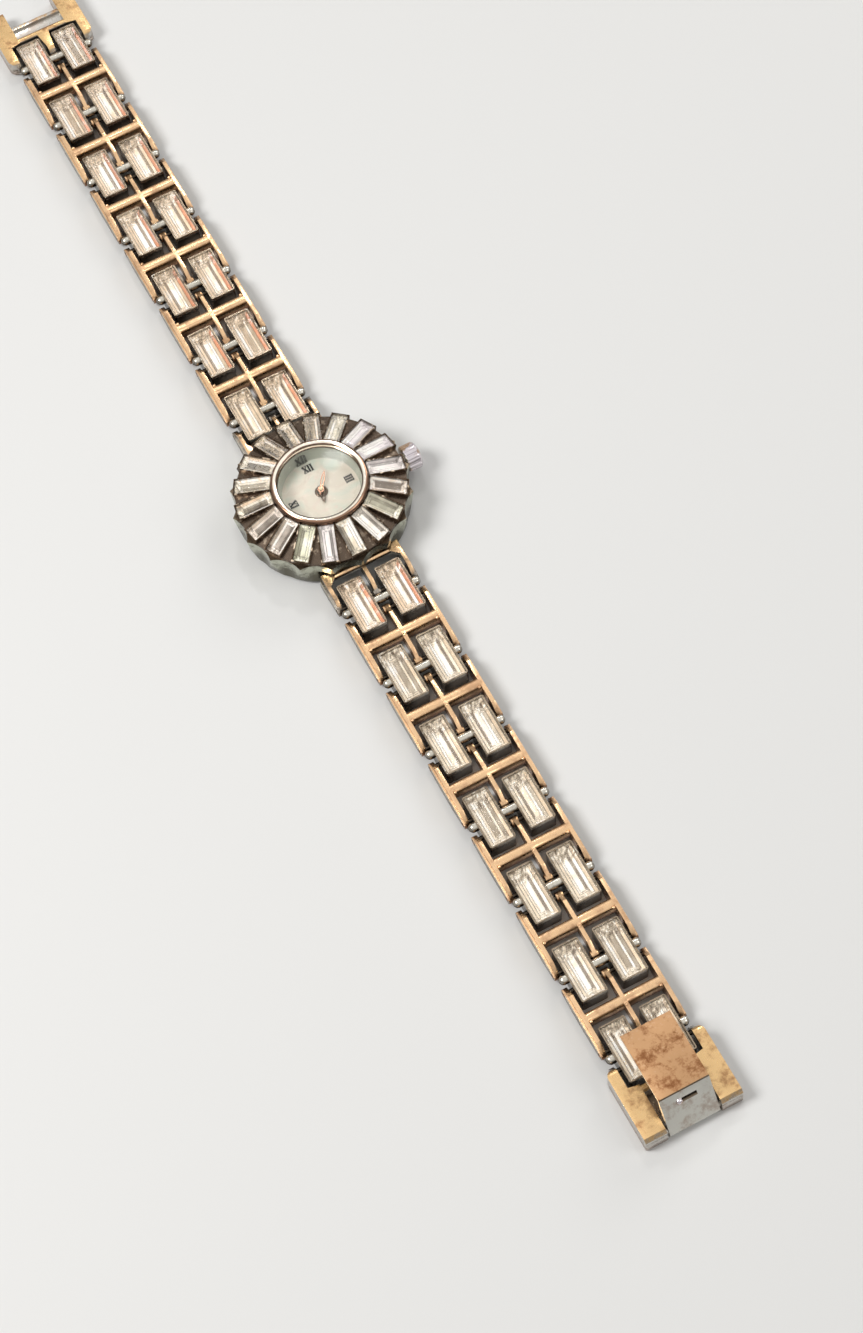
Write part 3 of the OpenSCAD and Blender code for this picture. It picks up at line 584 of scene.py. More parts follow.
GILT: Colour = (0.82, 0.545, 0.315)
# The dark of the cups' stains and of their painted shade.
SOOT_AND_SHADE: Colour = (0.06, 0.045, 0.032)
# In the plated finishes, the darkening below a given height is painted shade.
FINISHES = (
    Plated(
        "rail_gilding", GILT, (0.62, 0.52, 0.42), (0.24, 0.11, 0.06), Coat.TOPS_ONLY,
        top_edge=-0.25, plate_foot=1.1, wear=0.0, stain=0.55, grime=0.9, grime_top=1.85,
        grime_depth=0.6, ragged=1.0, patch_scale=420.0,
    ),
    Plated(
        "rail_side_silver", (0.62, 0.60, 0.50), (0.42, 0.40, 0.32), (0.12, 0.08, 0.05),
        stain=0.5, grime=0.85, grime_top=1.5, grime_depth=0.7, patch_scale=520.0, polish=0.12,
    ),
    Plated(
        "end_gilding", GILT, (0.42, 0.38, 0.33), (0.10, 0.07, 0.05), Coat.TOPS_ONLY,
        top_edge=0.3, plate_foot=1.9, wear=0.08, stain=0.8, grime=0.8, grime_top=1.9,
        grime_depth=0.6, patch_scale=420.0, polish=0.14,
    ),
    Plated(
        "cup_silver", (0.66, 0.62, 0.54), (0.42, 0.38, 0.32), SOOT_AND_SHADE, wear=0.06, stain=0.35,
        grime=0.95, grime_top=2.55, grime_depth=0.6, ragged=0.6, patch_scale=700.0, polish=0.1,
    ),
    # The cups' lips round the stones: dark painted shade, with worn bright flecks.
    Plated(
        "cup_rim_painted_shade", (0.36, 0.29, 0.21), (0.66, 0.60, 0.50), (0.07, 0.05, 0.035),
        wear=0.12, stain=0.85, patch_scale=620.0, polish=0.14,
    ),
    # The case darkens low down and, by its cone, into the flute valleys: painted shade.
    Plated(
        "case_silver", (0.55, 0.56, 0.46), (0.74, 0.75, 0.65), (0.085, 0.075, 0.05), stain=0.7,
        grime=0.9, grime_top=36.2, grime_depth=1.7, ragged=2.6, cone=3.0, patch_scale=520.0,
        polish=0.07,
    ),
    # Painted shade: the case's shoulder under the stones and the lever's slot and fold.
    Plated(
        "painted_recess_shade", (0.15, 0.115, 0.08), (0.55, 0.50, 0.40), (0.05, 0.035, 0.025),
        wear=0.08, stain=0.6, patch_scale=700.0, polish=0.2,
    ),
    # The stones' seats: the near-black plate and the darkening into the gaps between stones are
    # painted shade; worn flecks show the bright metal.
    Plated(
        "setting_shaded_silver", (0.07, 0.045, 0.028), (0.86, 0.70, 0.52), (0.14, 0.105, 0.08),
        wear=0.15, stain=0.4, grime=0.78, grime_top=7.96, grime_depth=0.4, ragged=0.5,
        cone=0.2493, patch_scale=1100.0,
    ),
    # The ring's bands: a bright painted highlight along its top between darker bands on the chamfer
    # and outer slope, partly tarnish and partly painted shade.
    TurnedBands("ring_tarnish_and_painted_light", (
        (5.30, (0.20, 0.13, 0.09)), (5.42, (0.30, 0.20, 0.15)), (5.47, (0.97, 0.91, 0.80)),
        (5.74, (0.93, 0.85, 0.74)), (5.83, (0.40, 0.25, 0.17)), (6.05, (0.26, 0.15, 0.10)),
        (6.18, (0.12, 0.07, 0.045)),
    )),
    Plated(
        "crown_silver", (0.68, 0.63, 0.66), (0.50, 0.35, 0.24), (0.30, 0.19, 0.12),
        wear=0.24, stain=0.8, patch_scale=420.0, polish=0.08,
    ),
    Plated(
        "back_steel", (0.66, 0.65, 0.63), (0.5, 0.49, 0.47), (0.25, 0.22, 0.2),
        stain=0.3, patch_scale=350.0, polish=0.28,
    ),
    Plated(
        "cheek_gilding", (0.76, 0.51, 0.25), (0.58, 0.56, 0.52), (0.24, 0.11, 0.05),
        Coat.TOPS_ONLY, top_edge=0.6, plate_foot=1.9, wear=0.04, stain=0.8, grime=0.5,
        grime_top=1.6, patch_scale=360.0, polish=0.18,
    ),
    Plated(
        "lever_patina", (0.46, 0.27, 0.14), (0.64, 0.63, 0.58), (0.24, 0.10, 0.04),
        Coat.TOPS_ONLY, top_edge=0.8, plate_foot=5.4, wear=-0.2, stain=0.9, patch_scale=560.0,
        polish=0.36,
    ),
    Plated(
        "minute_gilding", (0.66, 0.38, 0.26), (0.7, 0.5, 0.3), (0.22, 0.12, 0.08),
        wear=0.0, stain=0.35, patch_scale=900.0, polish=0.14,
    ),
    Plated(
        "hour_bronze", (0.16, 0.12, 0.09), (0.10, 0.08, 0.06), (0.05, 0.04, 0.03),
        stain=0.4, patch_scale=1200.0, polish=0.2,
    ),
    Plated(
        "movement_brass", (0.72, 0.62, 0.42), (0.6, 0.55, 0.45), (0.3, 0.22, 0.14),
        wear=0.05, stain=0.2, polish=0.3,
    ),
    Backing(
        "baguette_backing", (0.96, 0.83, 0.65), (0.09, 0.055, 0.03), (1.0, 0.985, 0.95),
        mottle=3.6,
    ),
    Backing(
        "ring_backing", (0.92, 0.85, 0.75), (0.05, 0.034, 0.02), (0.98, 0.94, 0.88),
        far_end=0.82, drift=0.7,
    ),
    Clear("stone_glass", (1.0, 0.995, 0.98), 0.22),
    Clear("watch_crystal", (1.0, 1.0, 1.0), 0.2, bend=1.05, coat=1.0),
    Pearl(
        "dial_pearl", (0.70, 0.63, 0.52), (0.57, 0.61, 0.51), (0.70, 0.57, 0.48),
        (0.42, 0.38, 0.3),
    ),
    Plain("flange_lacquer", (0.46, 0.48, 0.40), 0.25),
    Plain("numeral_ink", (0.012, 0.012, 0.012), 0.45),
    # Painted refraction: the grey of twelve's image in the crystal's edge.
    Plain("painted_refraction_grey", (0.10, 0.105, 0.09), 0.3),
    Plain("seal_rubber", (0.02, 0.02, 0.02), 0.8),
)


@dataclass
class Bench:
    """The workshop: the finishes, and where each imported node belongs."""

    materials: dict[str, bpy.types.Material] = field(default_factory=dict)
    body_of: dict[str, str] = field(default_factory=dict)
    slot_of: dict[str, str] = field(default_factory=dict)

    def __post_init__(self) -> None:
        """Makes the shared groups and all finishes, and reads the record."""
        groups = {
            "worn_plate": worn_plate_group(), "facet_backing": facet_group(),
            "pearl_cloud": pearl_group(),
        }
        self.materials = {finish.name: finish.material(groups) for finish in FINISHES}
        record = frame["record"]
        bodies = record["behaviour"]["bodies"].items()
        self.body_of = {node: body for body, nodes in bodies for node in nodes}
        self.slot_of = {part["node"]: part["material_slot"] for part in record["subparts"]}

    def dress(self, node: str, finish: str) -> None:
        """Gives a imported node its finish.

        Args:
            node: the node's name.
            finish: the finish's name.
        """
        data = frame["nodes"][node].data
        data.materials.clear()
        data.materials.append(self.materials[finish])

    def add_finish(
        self, obj: bpy.types.Object, finish: str, chosen: Callable[[bpy.types.MeshPolygon], bool]
    ) -> None:
        """Gives some of a piece's faces a second finish.

        Args:
            obj: the piece.
            finish: the second finish's name.
            chosen: tells whether a face takes it.
        """
        obj.data.materials.append(self.materials[finish])
        for face in obj.data.polygons:
            if chosen(face):
                face.material_index = len(obj.data.materials) - 1

    def piece(
        self, mesh: Mesh, name: str, finish: str, stands_for: str = "", body: str = "head",
        slot: str = "dial_pearl",
    ) -> bpy.types.Object:
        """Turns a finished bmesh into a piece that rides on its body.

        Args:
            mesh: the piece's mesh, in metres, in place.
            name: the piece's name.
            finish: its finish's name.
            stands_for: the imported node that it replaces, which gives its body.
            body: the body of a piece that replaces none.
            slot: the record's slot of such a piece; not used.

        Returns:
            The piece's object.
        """
        data = bpy.data.meshes.new(name)
        mesh.to_mesh(data)
        mesh.free()
        obj = bpy.data.objects.new(name, data)
        bpy.context.scene.collection.objects.link(obj)
        data.materials.append(self.materials[finish])
        if stands_for:
            body, slot = self.body_of[stands_for], self.slot_of[stands_for]
        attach(obj, body)
        if stands_for:
            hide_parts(stands_for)
        LOG.info("%s: %d faces on %s", name, len(data.polygons), body)
        return obj

    def soft(self, node: str, finish: str, edge: "SoftEdge") -> bpy.types.Object:
        """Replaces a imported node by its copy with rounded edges."""
        return self.piece(softened(node, edge), f"{node}_finished", finish, node)


# ---- Mesh work --------------------------------------------------------------------------


@dataclass(frozen=True)
class SoftEdge:
    """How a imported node's corners are merged and its edges rounded.

    Lengths are in millimetres and angles in degrees.
    """

    width: float
    segments: int = 2
    merge: float = 0.002
    flat: float = 0.6
    sharp: float = 28.0
    crisp: float = 36.0
    speck: float = 0.0001


def is_sharp(edge: bmesh.types.BMEdge, degrees: float) -> bool:
    """Tells whether two faces meet at an edge more sharply than an angle."""
    return len(edge.link_faces) == 2 and edge.calc_face_angle(0.0) > math.radians(degrees)


def bevel(mesh: Mesh, edges: list[bmesh.types.BMEdge], width: float, segments: int = 1) -> None:
    """Rounds edges.

    Args:
        mesh: the mesh.
        edges: the edges to round.
        width: how far they are rounded, in the mesh's own units.
        segments: the number of strips on each.
    """
    bmesh.ops.bevel(
        mesh, geom=edges, offset=width, offset_type="OFFSET", segments=segments, profile=0.5,
        affect="EDGES", material=-1, clamp_overlap=True,
    )


def smooth(mesh: Mesh, degrees: float) -> None:
    """Shades a mesh smooth but for its sharp edges.

    Args:
        mesh: the mesh.
        degrees: the angle past which an edge is sharp.
    """
    for face in mesh.faces:
        face.smooth = True
    for edge in mesh.edges:
        edge.smooth = not is_sharp(edge, degrees)


def softened(node: str, soft: SoftEdge) -> Mesh:
    """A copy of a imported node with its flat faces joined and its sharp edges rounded.

    Args:
        node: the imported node's name.
        soft: how its corners are merged and its edges rounded; a width of 0 leaves them.

    Returns:
        The copy, smooth but for its remaining sharp edges.
    """
    mesh = bmesh.new()
    mesh.from_mesh(frame["nodes"][node].data)
    bmesh.ops.remove_doubles(mesh, verts=mesh.verts, dist=soft.merge * MM)
    if soft.width > 0:
        bmesh.ops.dissolve_limit(
            mesh, angle_limit=math.radians(soft.flat), verts=mesh.verts, edges=mesh.edges,
            use_dissolve_boundaries=False,
        )
        sharp = [edge for edge in mesh.edges if is_sharp(edge, soft.sharp)]
        bevel(mesh, sharp, soft.width * MM, soft.segments)
        bmesh.ops.dissolve_degenerate(mesh, dist=soft.speck * MM, edges=mesh.edges)
    bmesh.ops.triangulate(mesh, faces=[face for face in mesh.faces if len(face.verts) > 4])
    smooth(mesh, soft.crisp)
    return mesh


@dataclass(frozen=True)
class StoneTones:
    """The brightness, colour and mottling that a stone's facets take; the brightness is painted
    reflection, and the creases' dark is painted shade.

    Long facets go in pairs, left then right, from the girdle in.
    """

    long_sides: tuple[float, ...]
    far_end: float
    near_end: float
    crease: float
    jitter: float
    table: float = 0.9
    tint: Colour = (1.0, 1.0, 1.0)
    edge_tint: Colour = (1.0, 1.0, 1.0)
    speckle: float = 0.0
    end_speckle: float = 0.8
    crease_step: float = 0.3

    def paint(
        self, face: bmesh.types.BMFace, layers: tuple[object, object], number: int, crease: bool,
        seed: random.Random,
    ) -> None:
        """Stores a facet's tone, which is painted reflection, and its colour.

        Args:
            face: the facet.
            layers: the tone and colour layers of its corners.
            number: the facet's step, counted from the girdle in, or -1 for the flat middle.
            crease: whether it is the crease before that step, painted dark as shade.
            seed: the source of variation.
        """
        face.normal_update()
        across, along = face.normal.x, face.normal.y
        corners = [loop.vert.co for loop in face.loops]
        wide, long = (max(c[way] for c in corners) - min(c[way] for c in corners) for way in (0, 1))
        mottle, colour = self.speckle, self.tint
        if number < 0:
            level = self.table
        elif wide > long:
            level = (self.far_end if along < 0 else self.near_end) - self.crease_step * crease
            mottle = self.end_speckle
        elif crease:
            level, mottle = self.crease + self.crease_step * (number == 0), 0.0
        else:
            right = across <= 0
            level = self.long_sides[(number * 2 + right) % len(self.long_sides)]
            colour = self.edge_tint if right and number == 0 else colour
        level += seed.uniform(-self.jitter, self.jitter)
        for loop in face.loops:
            loop[layers[0]] = (level, 0.0, mottle, 0.0)
            loop[layers[1]] = (*colour, 1.0)


@dataclass(frozen=True)
class StoneCut:
    """A step-cut stone, in millimetres: its plan, its crown's steps and its backing's steps."""

    length: float
    width: float
    girdle: float
    crown: Profile
    pavilion: Profile
    crease: float
    crease_depth: float = 0.012
    edge: float = 0.018
    trim: float = 0.02
    gap: float = 0.015
    skirt: float = 0.04
    map_reach: float = 50.0

    @property
    def crown_rise(self) -> float:
        """The height of the table above the girdle."""
        return sum(rise for _, rise in self.crown)

    def rectangle(self, trim: float, height: float) -> Mesh:
        """A flat rectangle in plan that faces up.

        Args:
            trim: the amount trimmed from each side.
            height: its height above the girdle's top.

        Returns:
            The rectangle's mesh.
        """
        mesh = bmesh.new()
        bmesh.ops.create_grid(mesh, x_segments=1, y_segments=1, size=0.5)
        size = (self.width - 2 * trim, self.length - 2 * trim, 1.0)
        bmesh.ops.scale(mesh, verts=mesh.verts, vec=size)
        bmesh.ops.translate(mesh, verts=mesh.verts, vec=(0.0, 0.0, height))
        return mesh

    def glass(self) -> Mesh:
        """The clear stone: girdle, stepped crown and table, flat underneath.

        Returns:
            The stone's mesh.
        """
        mesh = self.rectangle(0.0, -self.girdle)
        raised = bmesh.ops.extrude_face_region(mesh, geom=mesh.faces[:])
        top = [part for part in raised["geom"] if isinstance(part, bmesh.types.BMFace)]
        bmesh.ops.translate(mesh, verts=top[0].verts[:], vec=(0.0, 0.0, self.girdle))
        for step, rise in self.crown:
            bmesh.ops.inset_region(
                mesh, faces=top, thickness=step, depth=rise, use_even_offset=True
            )
        bmesh.ops.recalc_face_normals(mesh, faces=mesh.faces)
        bevel(mesh, mesh.edges[:], self.edge)
        return mesh

    def backing(self, seed: random.Random, tones: StoneTones) -> Mesh:
        """The stepped reflecting back under the glass, with a tone of painted reflection for each
        facet.

        A narrow crease, painted dark as shade, runs round the stone before each step and round its
        middle.

        Args:
            seed: the source of this stone's own variation.
            tones: the tones that this kind of stone shows.

        Returns:
            A closed, thin shell.
        """
        mesh = self.rectangle(self.trim, -self.girdle - self.gap)
        layers = tuple(mesh.loops.layers.float_color.new(name) for name in (TONE, TINT))
        plan = mesh.loops.layers.uv.new(CUT)
        floor = mesh.faces[:]
        shift = Vector((seed.uniform(0, self.map_reach), seed.uniform(0, self.map_reach)))
        rings = []
        for number, (step, fall) in enumerate(self.pavilion):
            rings += [(number, self.crease, self.crease_depth, True), (number, step, fall, False)]
        rings.append((len(self.pavilion), self.crease, self.crease_depth, True))
        for number, width, fall, crease in rings:
            made = bmesh.ops.inset_region(
                mesh, faces=floor, thickness=width, depth=-fall, use_even_offset=True,
                use_boundary=True,
            )
            for face in made["faces"]:
                tones.paint(face, layers, number, crease, seed)
        for face in floor:
            tones.paint(face, layers, -1, False, seed)
        for face in mesh.faces:
            for loop in face.loops:
                loop[plan].uv = loop.vert.co.xy + shift
                loop[layers[0]] = (*loop[layers[0]][:3], loop.vert.co.y / self.length + 0.5)
        rim = [edge for edge in mesh.edges if edge.is_boundary]
        skirt = bmesh.ops.extrude_edge_only(mesh, edges=rim)
        lower = [part for part in skirt["geom"] if isinstance(part, bmesh.types.BMVert)]
        depth = sum(fall + self.crease_depth for _, fall in self.pavilion) + self.skirt
        bmesh.ops.translate(mesh, verts=lower, vec=(0.0, 0.0, -depth))
        bmesh.ops.holes_fill(mesh, edges=[edge for edge in mesh.edges if edge.is_boundary])
        bmesh.ops.recalc_face_normals(mesh, faces=mesh.faces)
        return mesh


def join(parts: list[Mesh]) -> Mesh:
    """Joins several meshes, with their layers, into one.

    Args:
        parts: the meshes; they are freed.

    Returns:
        The joined mesh.
    """
    whole = bmesh.new()
    for part in parts:
        scratch = bpy.data.meshes.new("scratch")
        part.to_mesh(scratch)
        part.free()
        whole.from_mesh(scratch)
        bpy.data.meshes.remove(scratch)
    return whole


def turned(profile: Profile, steps: int = 128, closed: bool = True) -> Mesh:
    """Turns a profile about the upright axis, as on a lathe.

    Args:
        profile: radius and height of each corner, in millimetres.
        steps: the number of sides.
        closed: whether the last corner joins the first; an open one starts and ends on the axis.

    Returns:
        The turned mesh, in metres.
    """
    mesh = bmesh.new()
    corners = [mesh.verts.new((radius * MM, 0.0, height * MM)) for radius, height in profile]
    ends = corners[1:] + corners[:1] if closed else corners[1:]
    edges = [mesh.edges.new(pair) for pair in zip(corners, ends)]
    bmesh.ops.spin(
        mesh, geom=corners + edges, cent=(0, 0, 0), axis=(0, 0, 1), angle=math.tau, steps=steps,
        use_merge=True,
    )
    bmesh.ops.remove_doubles(mesh, verts=mesh.verts, dist=0.001 * MM)
    bmesh.ops.recalc_face_normals(mesh, faces=mesh.faces)
    smooth(mesh, 36.0)
    return mesh


def placed(mesh: Mesh, place: Matrix) -> Mesh:
    """Moves a mesh made in millimetres to its place, and into metres."""
    bmesh.ops.transform(mesh, matrix=Matrix.Scale(MM, 4) @ place, verts=mesh.verts)
    return mesh


def moved(x: float, y: float, z: float) -> Matrix:
    """A move along the three axes."""
    return Matrix.Translation((x, y, z))


def tilted(degrees: float, axis: str) -> Matrix:
    """A turn about an axis."""
    return Matrix.Rotation(math.radians(degrees), 4, axis)


# ---- The head ---------------------------------------------------------------------------


@dataclass(frozen=True)
class RingSector:
    """The ring stones between two bearings, in degrees clockwise from twelve, that look alike."""

    start: float
    end: float
    tones: StoneTones


FIRST_BEARING = 30
LILAC: Colour = (0.93, 0.91, 1.0)
# Each sector's facet brightnesses are painted reflections, and those past 1 painted highlights.
SECTORS = (
    RingSector(30, 50, StoneTones(
        (0.90, 0.60, 1.06, 0.72), 0.95, 1.0, 0.03, 0.2, 0.88, (0.96, 0.93, 0.80), speckle=0.6)),
    RingSector(50, 90, StoneTones(
        (1.12, 0.65, 1.14, 0.80), 0.95, 1.0, 0.03, 0.1, 1.14,
        (0.89, 0.86, 1.0), (0.90, 0.72, 0.56))),
    RingSector(90, 110, StoneTones(
        (0.75, 1.08, 0.55, 1.14), 1.0, 1.05, 0.03, 0.08, 1.06, LILAC, LILAC)),
    RingSector(110, 130, StoneTones(
        (1.08, 0.72, 0.35, 1.10), 0.95, 1.10, 0.02, 0.08, 0.38,
        (0.98, 0.91, 0.87), (0.92, 0.66, 0.50))),
    RingSector(130, 150, StoneTones(
        (0.75, 1.02, 0.52, 0.98), 1.10, 0.8, 0.03, 0.15, 0.72,
        (0.92, 0.94, 0.82), (0.99, 0.92, 0.78))),
    RingSector(150, 170, StoneTones(
        (0.90, 1.14, 0.55, 1.14), 1.12, 0.8, 0.03, 0.1, 1.10, (1.0, 0.98, 0.95))),
    RingSector(170, 190, StoneTones(
        (1.04, 0.55, 1.14, 0.50), 1.0, 1.0, 0.02, 0.15, 0.95, (1.0, 0.95, 0.84))),
    RingSector(190, 210, StoneTones(
        (1.10, 0.75, 0.45, 1.14), 1.0, 1.0, 0.03, 0.12, 1.14, (0.92, 0.91, 1.0))),
    RingSector(210, 230, StoneTones(
        (1.0, 0.70, 0.92, 0.55), 0.95, 1.0, 0.03, 0.12, 0.95,
        (0.88, 0.93, 0.79), (0.84, 0.90, 0.72))),
    RingSector(230, 270, StoneTones(
        (1.14, 0.70, 0.45, 1.02), 0.95, 1.08, 0.03, 0.12, 0.55,
        (0.97, 0.90, 0.87), (0.97, 0.85, 0.73))),
    RingSector(270, 330, StoneTones(
        (1.08, 1.10, 0.35, 1.10), 1.0, 1.08, 0.02, 0.2, 0.38,
        (1.0, 0.95, 0.83), (0.97, 0.76, 0.56), speckle=0.3)),
    RingSector(330, 390, StoneTones(
        (0.80, 0.48, 0.42, 1.0), 0.9, 0.9, 0.03, 0.3, 0.62,
        (0.97, 0.83, 0.64), (0.88, 0.61, 0.43), speckle=0.9)),
)


@dataclass
class Numerals:
    """Roman numerals drawn with flat bars, in millimetres and degrees."""

    height: float = 1.0
    widths: dict[str, float] = field(default_factory=lambda: {"X": 0.66, "I": 0.36})
    strokes: dict[str, Profile] = field(
        default_factory=lambda: {"X": ((30.0, 0.26), (-30.0, 0.14)), "I": ((0.0, 0.25),)}
    )
    stroke_share: float = 0.96
    serif_share: float = 0.94
    serif: float = 0.11
    thickness: float = 0.018
    edge: float = 0.005

    def word(self, word: str, place: Matrix) -> list[Mesh]:
        """The strokes and serifs of one numeral.

        Args:
            word: the numeral.
            place: where it is printed.

        Returns:
            One mesh for each bar.
        """
        parts: list[Mesh] = []
        across = -sum(self.widths[letter] for letter in word) / 2
        for letter in word:
            wide = self.widths[letter]
            middle = across + wide / 2
            for lean, thick in self.strokes[letter]:
                tall = self.height / math.cos(math.radians(lean)) * self.stroke_share
                parts.append(self.bar(thick, tall, place @ moved(middle, 0, 0) @ tilted(lean, "Z")))
            for end in (-1, 1):
                foot = place @ moved(middle, end * self.height / 2, 0)
                parts.append(self.bar(wide * self.serif_share, self.serif, foot))
            across += wide
        return parts

    def bar(self, wide: float, tall: float, place: Matrix) -> Mesh:
        """One flat bar.

        Args:
            wide: its width.
            tall: its height.
            place: its place.

        Returns:
            The bar's mesh.
        """
        mesh = bmesh.new()
        bmesh.ops.create_cube(mesh, size=1.0)
        bmesh.ops.scale(mesh, verts=mesh.verts, vec=(wide, tall, self.thickness))
        bevel(mesh, mesh.edges[:], self.edge)
        return placed(mesh, place)


@dataclass
class WatchHead:
    """The round head: case, stone ring, bezel, crystal, dial, hands and crown."""

    bench: Bench
    stones: int = 18
    ring_in_r: float = 6.28
    stone_slope: float = 14.0
    stone_top: float = 6.85
    cut: StoneCut = StoneCut(
        4.65, 2.0, 0.2, ((0.17, 0.25), (0.2, 0.15)), ((0.27, 0.16), (0.26, 0.09)), 0.055
    )
    variation: int = 7
    numerals: Numerals = field(default_factory=Numerals)
    hours: tuple[tuple[int, str], ...] = ((12, "XII"), (3, "III"), (9, "IX"))
    numeral_r: float = 3.85
    print_z: float = 4.212
    # Where twelve's refracted image in the crystal's edge is painted, as grey bars.
    image_at: tuple[float, float, float] = (0.0, 4.98, 4.9)
    image_turn: float = 4.0
    image_lean: float = 62.0
    image_size: float = 1.15
    shoulder: float = 4.2
    flange: Profile = (
        (4.92, 4.215), (5.26, 5.4), (5.27, 6.06), (5.285, 6.06), (5.28, 5.4), (4.94, 4.215),
    )
    collar: Profile = (
        (0.5, 4.205), (0.84, 4.205), (0.82, 4.32), (0.76, 4.36), (0.58, 4.36), (0.5, 4.32),
    )
    dial_disc: Profile = ((0.45, 3.95), (6.2, 3.95), (6.2, 4.2), (0.47, 4.2), (0.45, 4.18))
    ring: Profile = (
        (5.3, 5.41), (6.18, 5.41), (6.18, 6.5), (6.165, 6.62), (6.12, 6.75), (6.04, 6.86),
        (5.92, 6.95), (5.8, 6.99), (5.7, 7.0), (5.6, 6.985), (5.48, 6.93), (5.36, 6.86),
        (5.31, 6.8), (5.3, 6.7), (5.53, 6.65), (5.53, 6.09), (5.3, 6.09),
    )
    crystal_rim: Profile = (
        (0.0, 6.1), (5.46, 6.1), (5.5, 6.14), (5.5, 6.56), (5.46, 6.6), (5.27, 6.6),
    )
    crystal_face_r: float = 5.25
    crystal_edge_z: float = 6.85
    crystal_rise: float = 0.28
    dome_steps: int = 12

    def build(self) -> None:
        """Builds every piece of the head."""
        soft, dress, piece = self.bench.soft, self.bench.dress, self.bench.piece
        case = soft("case_body", "case_silver", SoftEdge(0.0))
        # The shoulder under the stones takes painted shade.
        self.bench.add_finish(case, "painted_recess_shade", self.on_shoulder)
        soft("stone_setting", "setting_shaded_silver", SoftEdge(0.0, merge=0.00001))
        soft("case_back", "back_steel", SoftEdge(0.08))
        soft("crown", "crown_silver", SoftEdge(0.03))
        soft("hour_hand", "hour_bronze", SoftEdge(0.015, 1))
        soft("minute_hand", "minute_gilding", SoftEdge(0.015, 1))
        dress("movement", "movement_brass")
        dress("back_gasket", "seal_rubber")
        for node in ("battery", "stem", "lug_bars"):
            dress(node, "back_steel")
        piece(turned(self.ring), "bezel_ring_finished", "ring_tarnish_and_painted_light", "bezel_ring")
        piece(turned(self.dial_disc), "dial_finished", "dial_pearl", "dial")
        piece(turned(self.flange), "dial_flange", "flange_lacquer")
        piece(turned(self.collar, 48), "dial_collar", "hour_bronze")
        self.crystal()
        self.ring_stones()
        self.print_dial()

    def on_shoulder(self, face: bpy.types.MeshPolygon) -> bool:
        """Tells whether a face of the case lies on the shoulder under the stones."""
        return face.normal.z > 0.9 and face.center.z > self.shoulder * MM

    def crystal(self) -> None:
        """Turns the domed crystal: a seated rim and a low dome over it."""
        sphere = (self.crystal_face_r**2 + self.crystal_rise**2) / (2 * self.crystal_rise)
        sweep = math.asin(self.crystal_face_r / sphere)
        top = self.crystal_edge_z + self.crystal_rise
        arc = [sweep * (1 - step / self.dome_steps) for step in range(self.dome_steps + 1)]
        dome = ((sphere * math.sin(a), top - sphere * (1 - math.cos(a))) for a in arc)
        made = turned((*self.crystal_rim, *dome), closed=False)
        self.bench.piece(made, "crystal_finished", "watch_crystal", "crystal")

    def ring_stones(self) -> None:
        """Sets the radial baguettes, each over its own backing."""
        slope = math.radians(self.stone_slope)
        middle = self.ring_in_r + math.cos(slope) * self.cut.length / 2
        girdle = self.stone_top - math.sin(slope) * self.cut.length / 2 - self.cut.crown_rise
        seed = random.Random(self.variation)
        clear, backs = [], []
        for number in range(self.stones):
            turn = number * 360 / self.stones
            bearing = (360 - turn) % 360
            bearing += 360 if bearing < FIRST_BEARING else 0
            tones = next(s.tones for s in SECTORS if s.start <= bearing < s.end)
            seat = tilted(turn, "Z") @ moved(0, middle, girdle)
            place = seat @ tilted(-self.stone_slope, "X")
            clear.append(placed(self.cut.glass(), place))
            backs.append(placed(self.cut.backing(seed, tones), place))
        self.bench.piece(join(clear), "ring_baguettes", "stone_glass", "bezel_stones")
        self.bench.piece(join(backs), "ring_baguette_backs", "ring_backing", "bezel_stones")

    def print_dial(self) -> None:
        """Prints the Roman hours, and paints twelve's refracted image in the crystal's edge as grey
        bars.
        """
        hours: list[Mesh] = []
        for hour, word in self.hours:
            place = tilted(-hour * 30, "Z") @ moved(0, self.numeral_r, self.print_z)
            hours += self.numerals.word(word, place)
        self.bench.piece(join(hours), "dial_numerals", "numeral_ink")
        # Twelve's refracted image, painted as grey bars at the dial's edge.
        stands = tilted(self.image_turn, "Z") @ moved(*self.image_at) @ tilted(self.image_lean, "X")
        image = join(self.numerals.word("XII", stands @ Matrix.Scale(self.image_size, 4)))
        self.bench.piece(image, "painted_refraction_of_twelve", "painted_refraction_grey")


# ---- The bracelet -----------------------------------------------------------------------


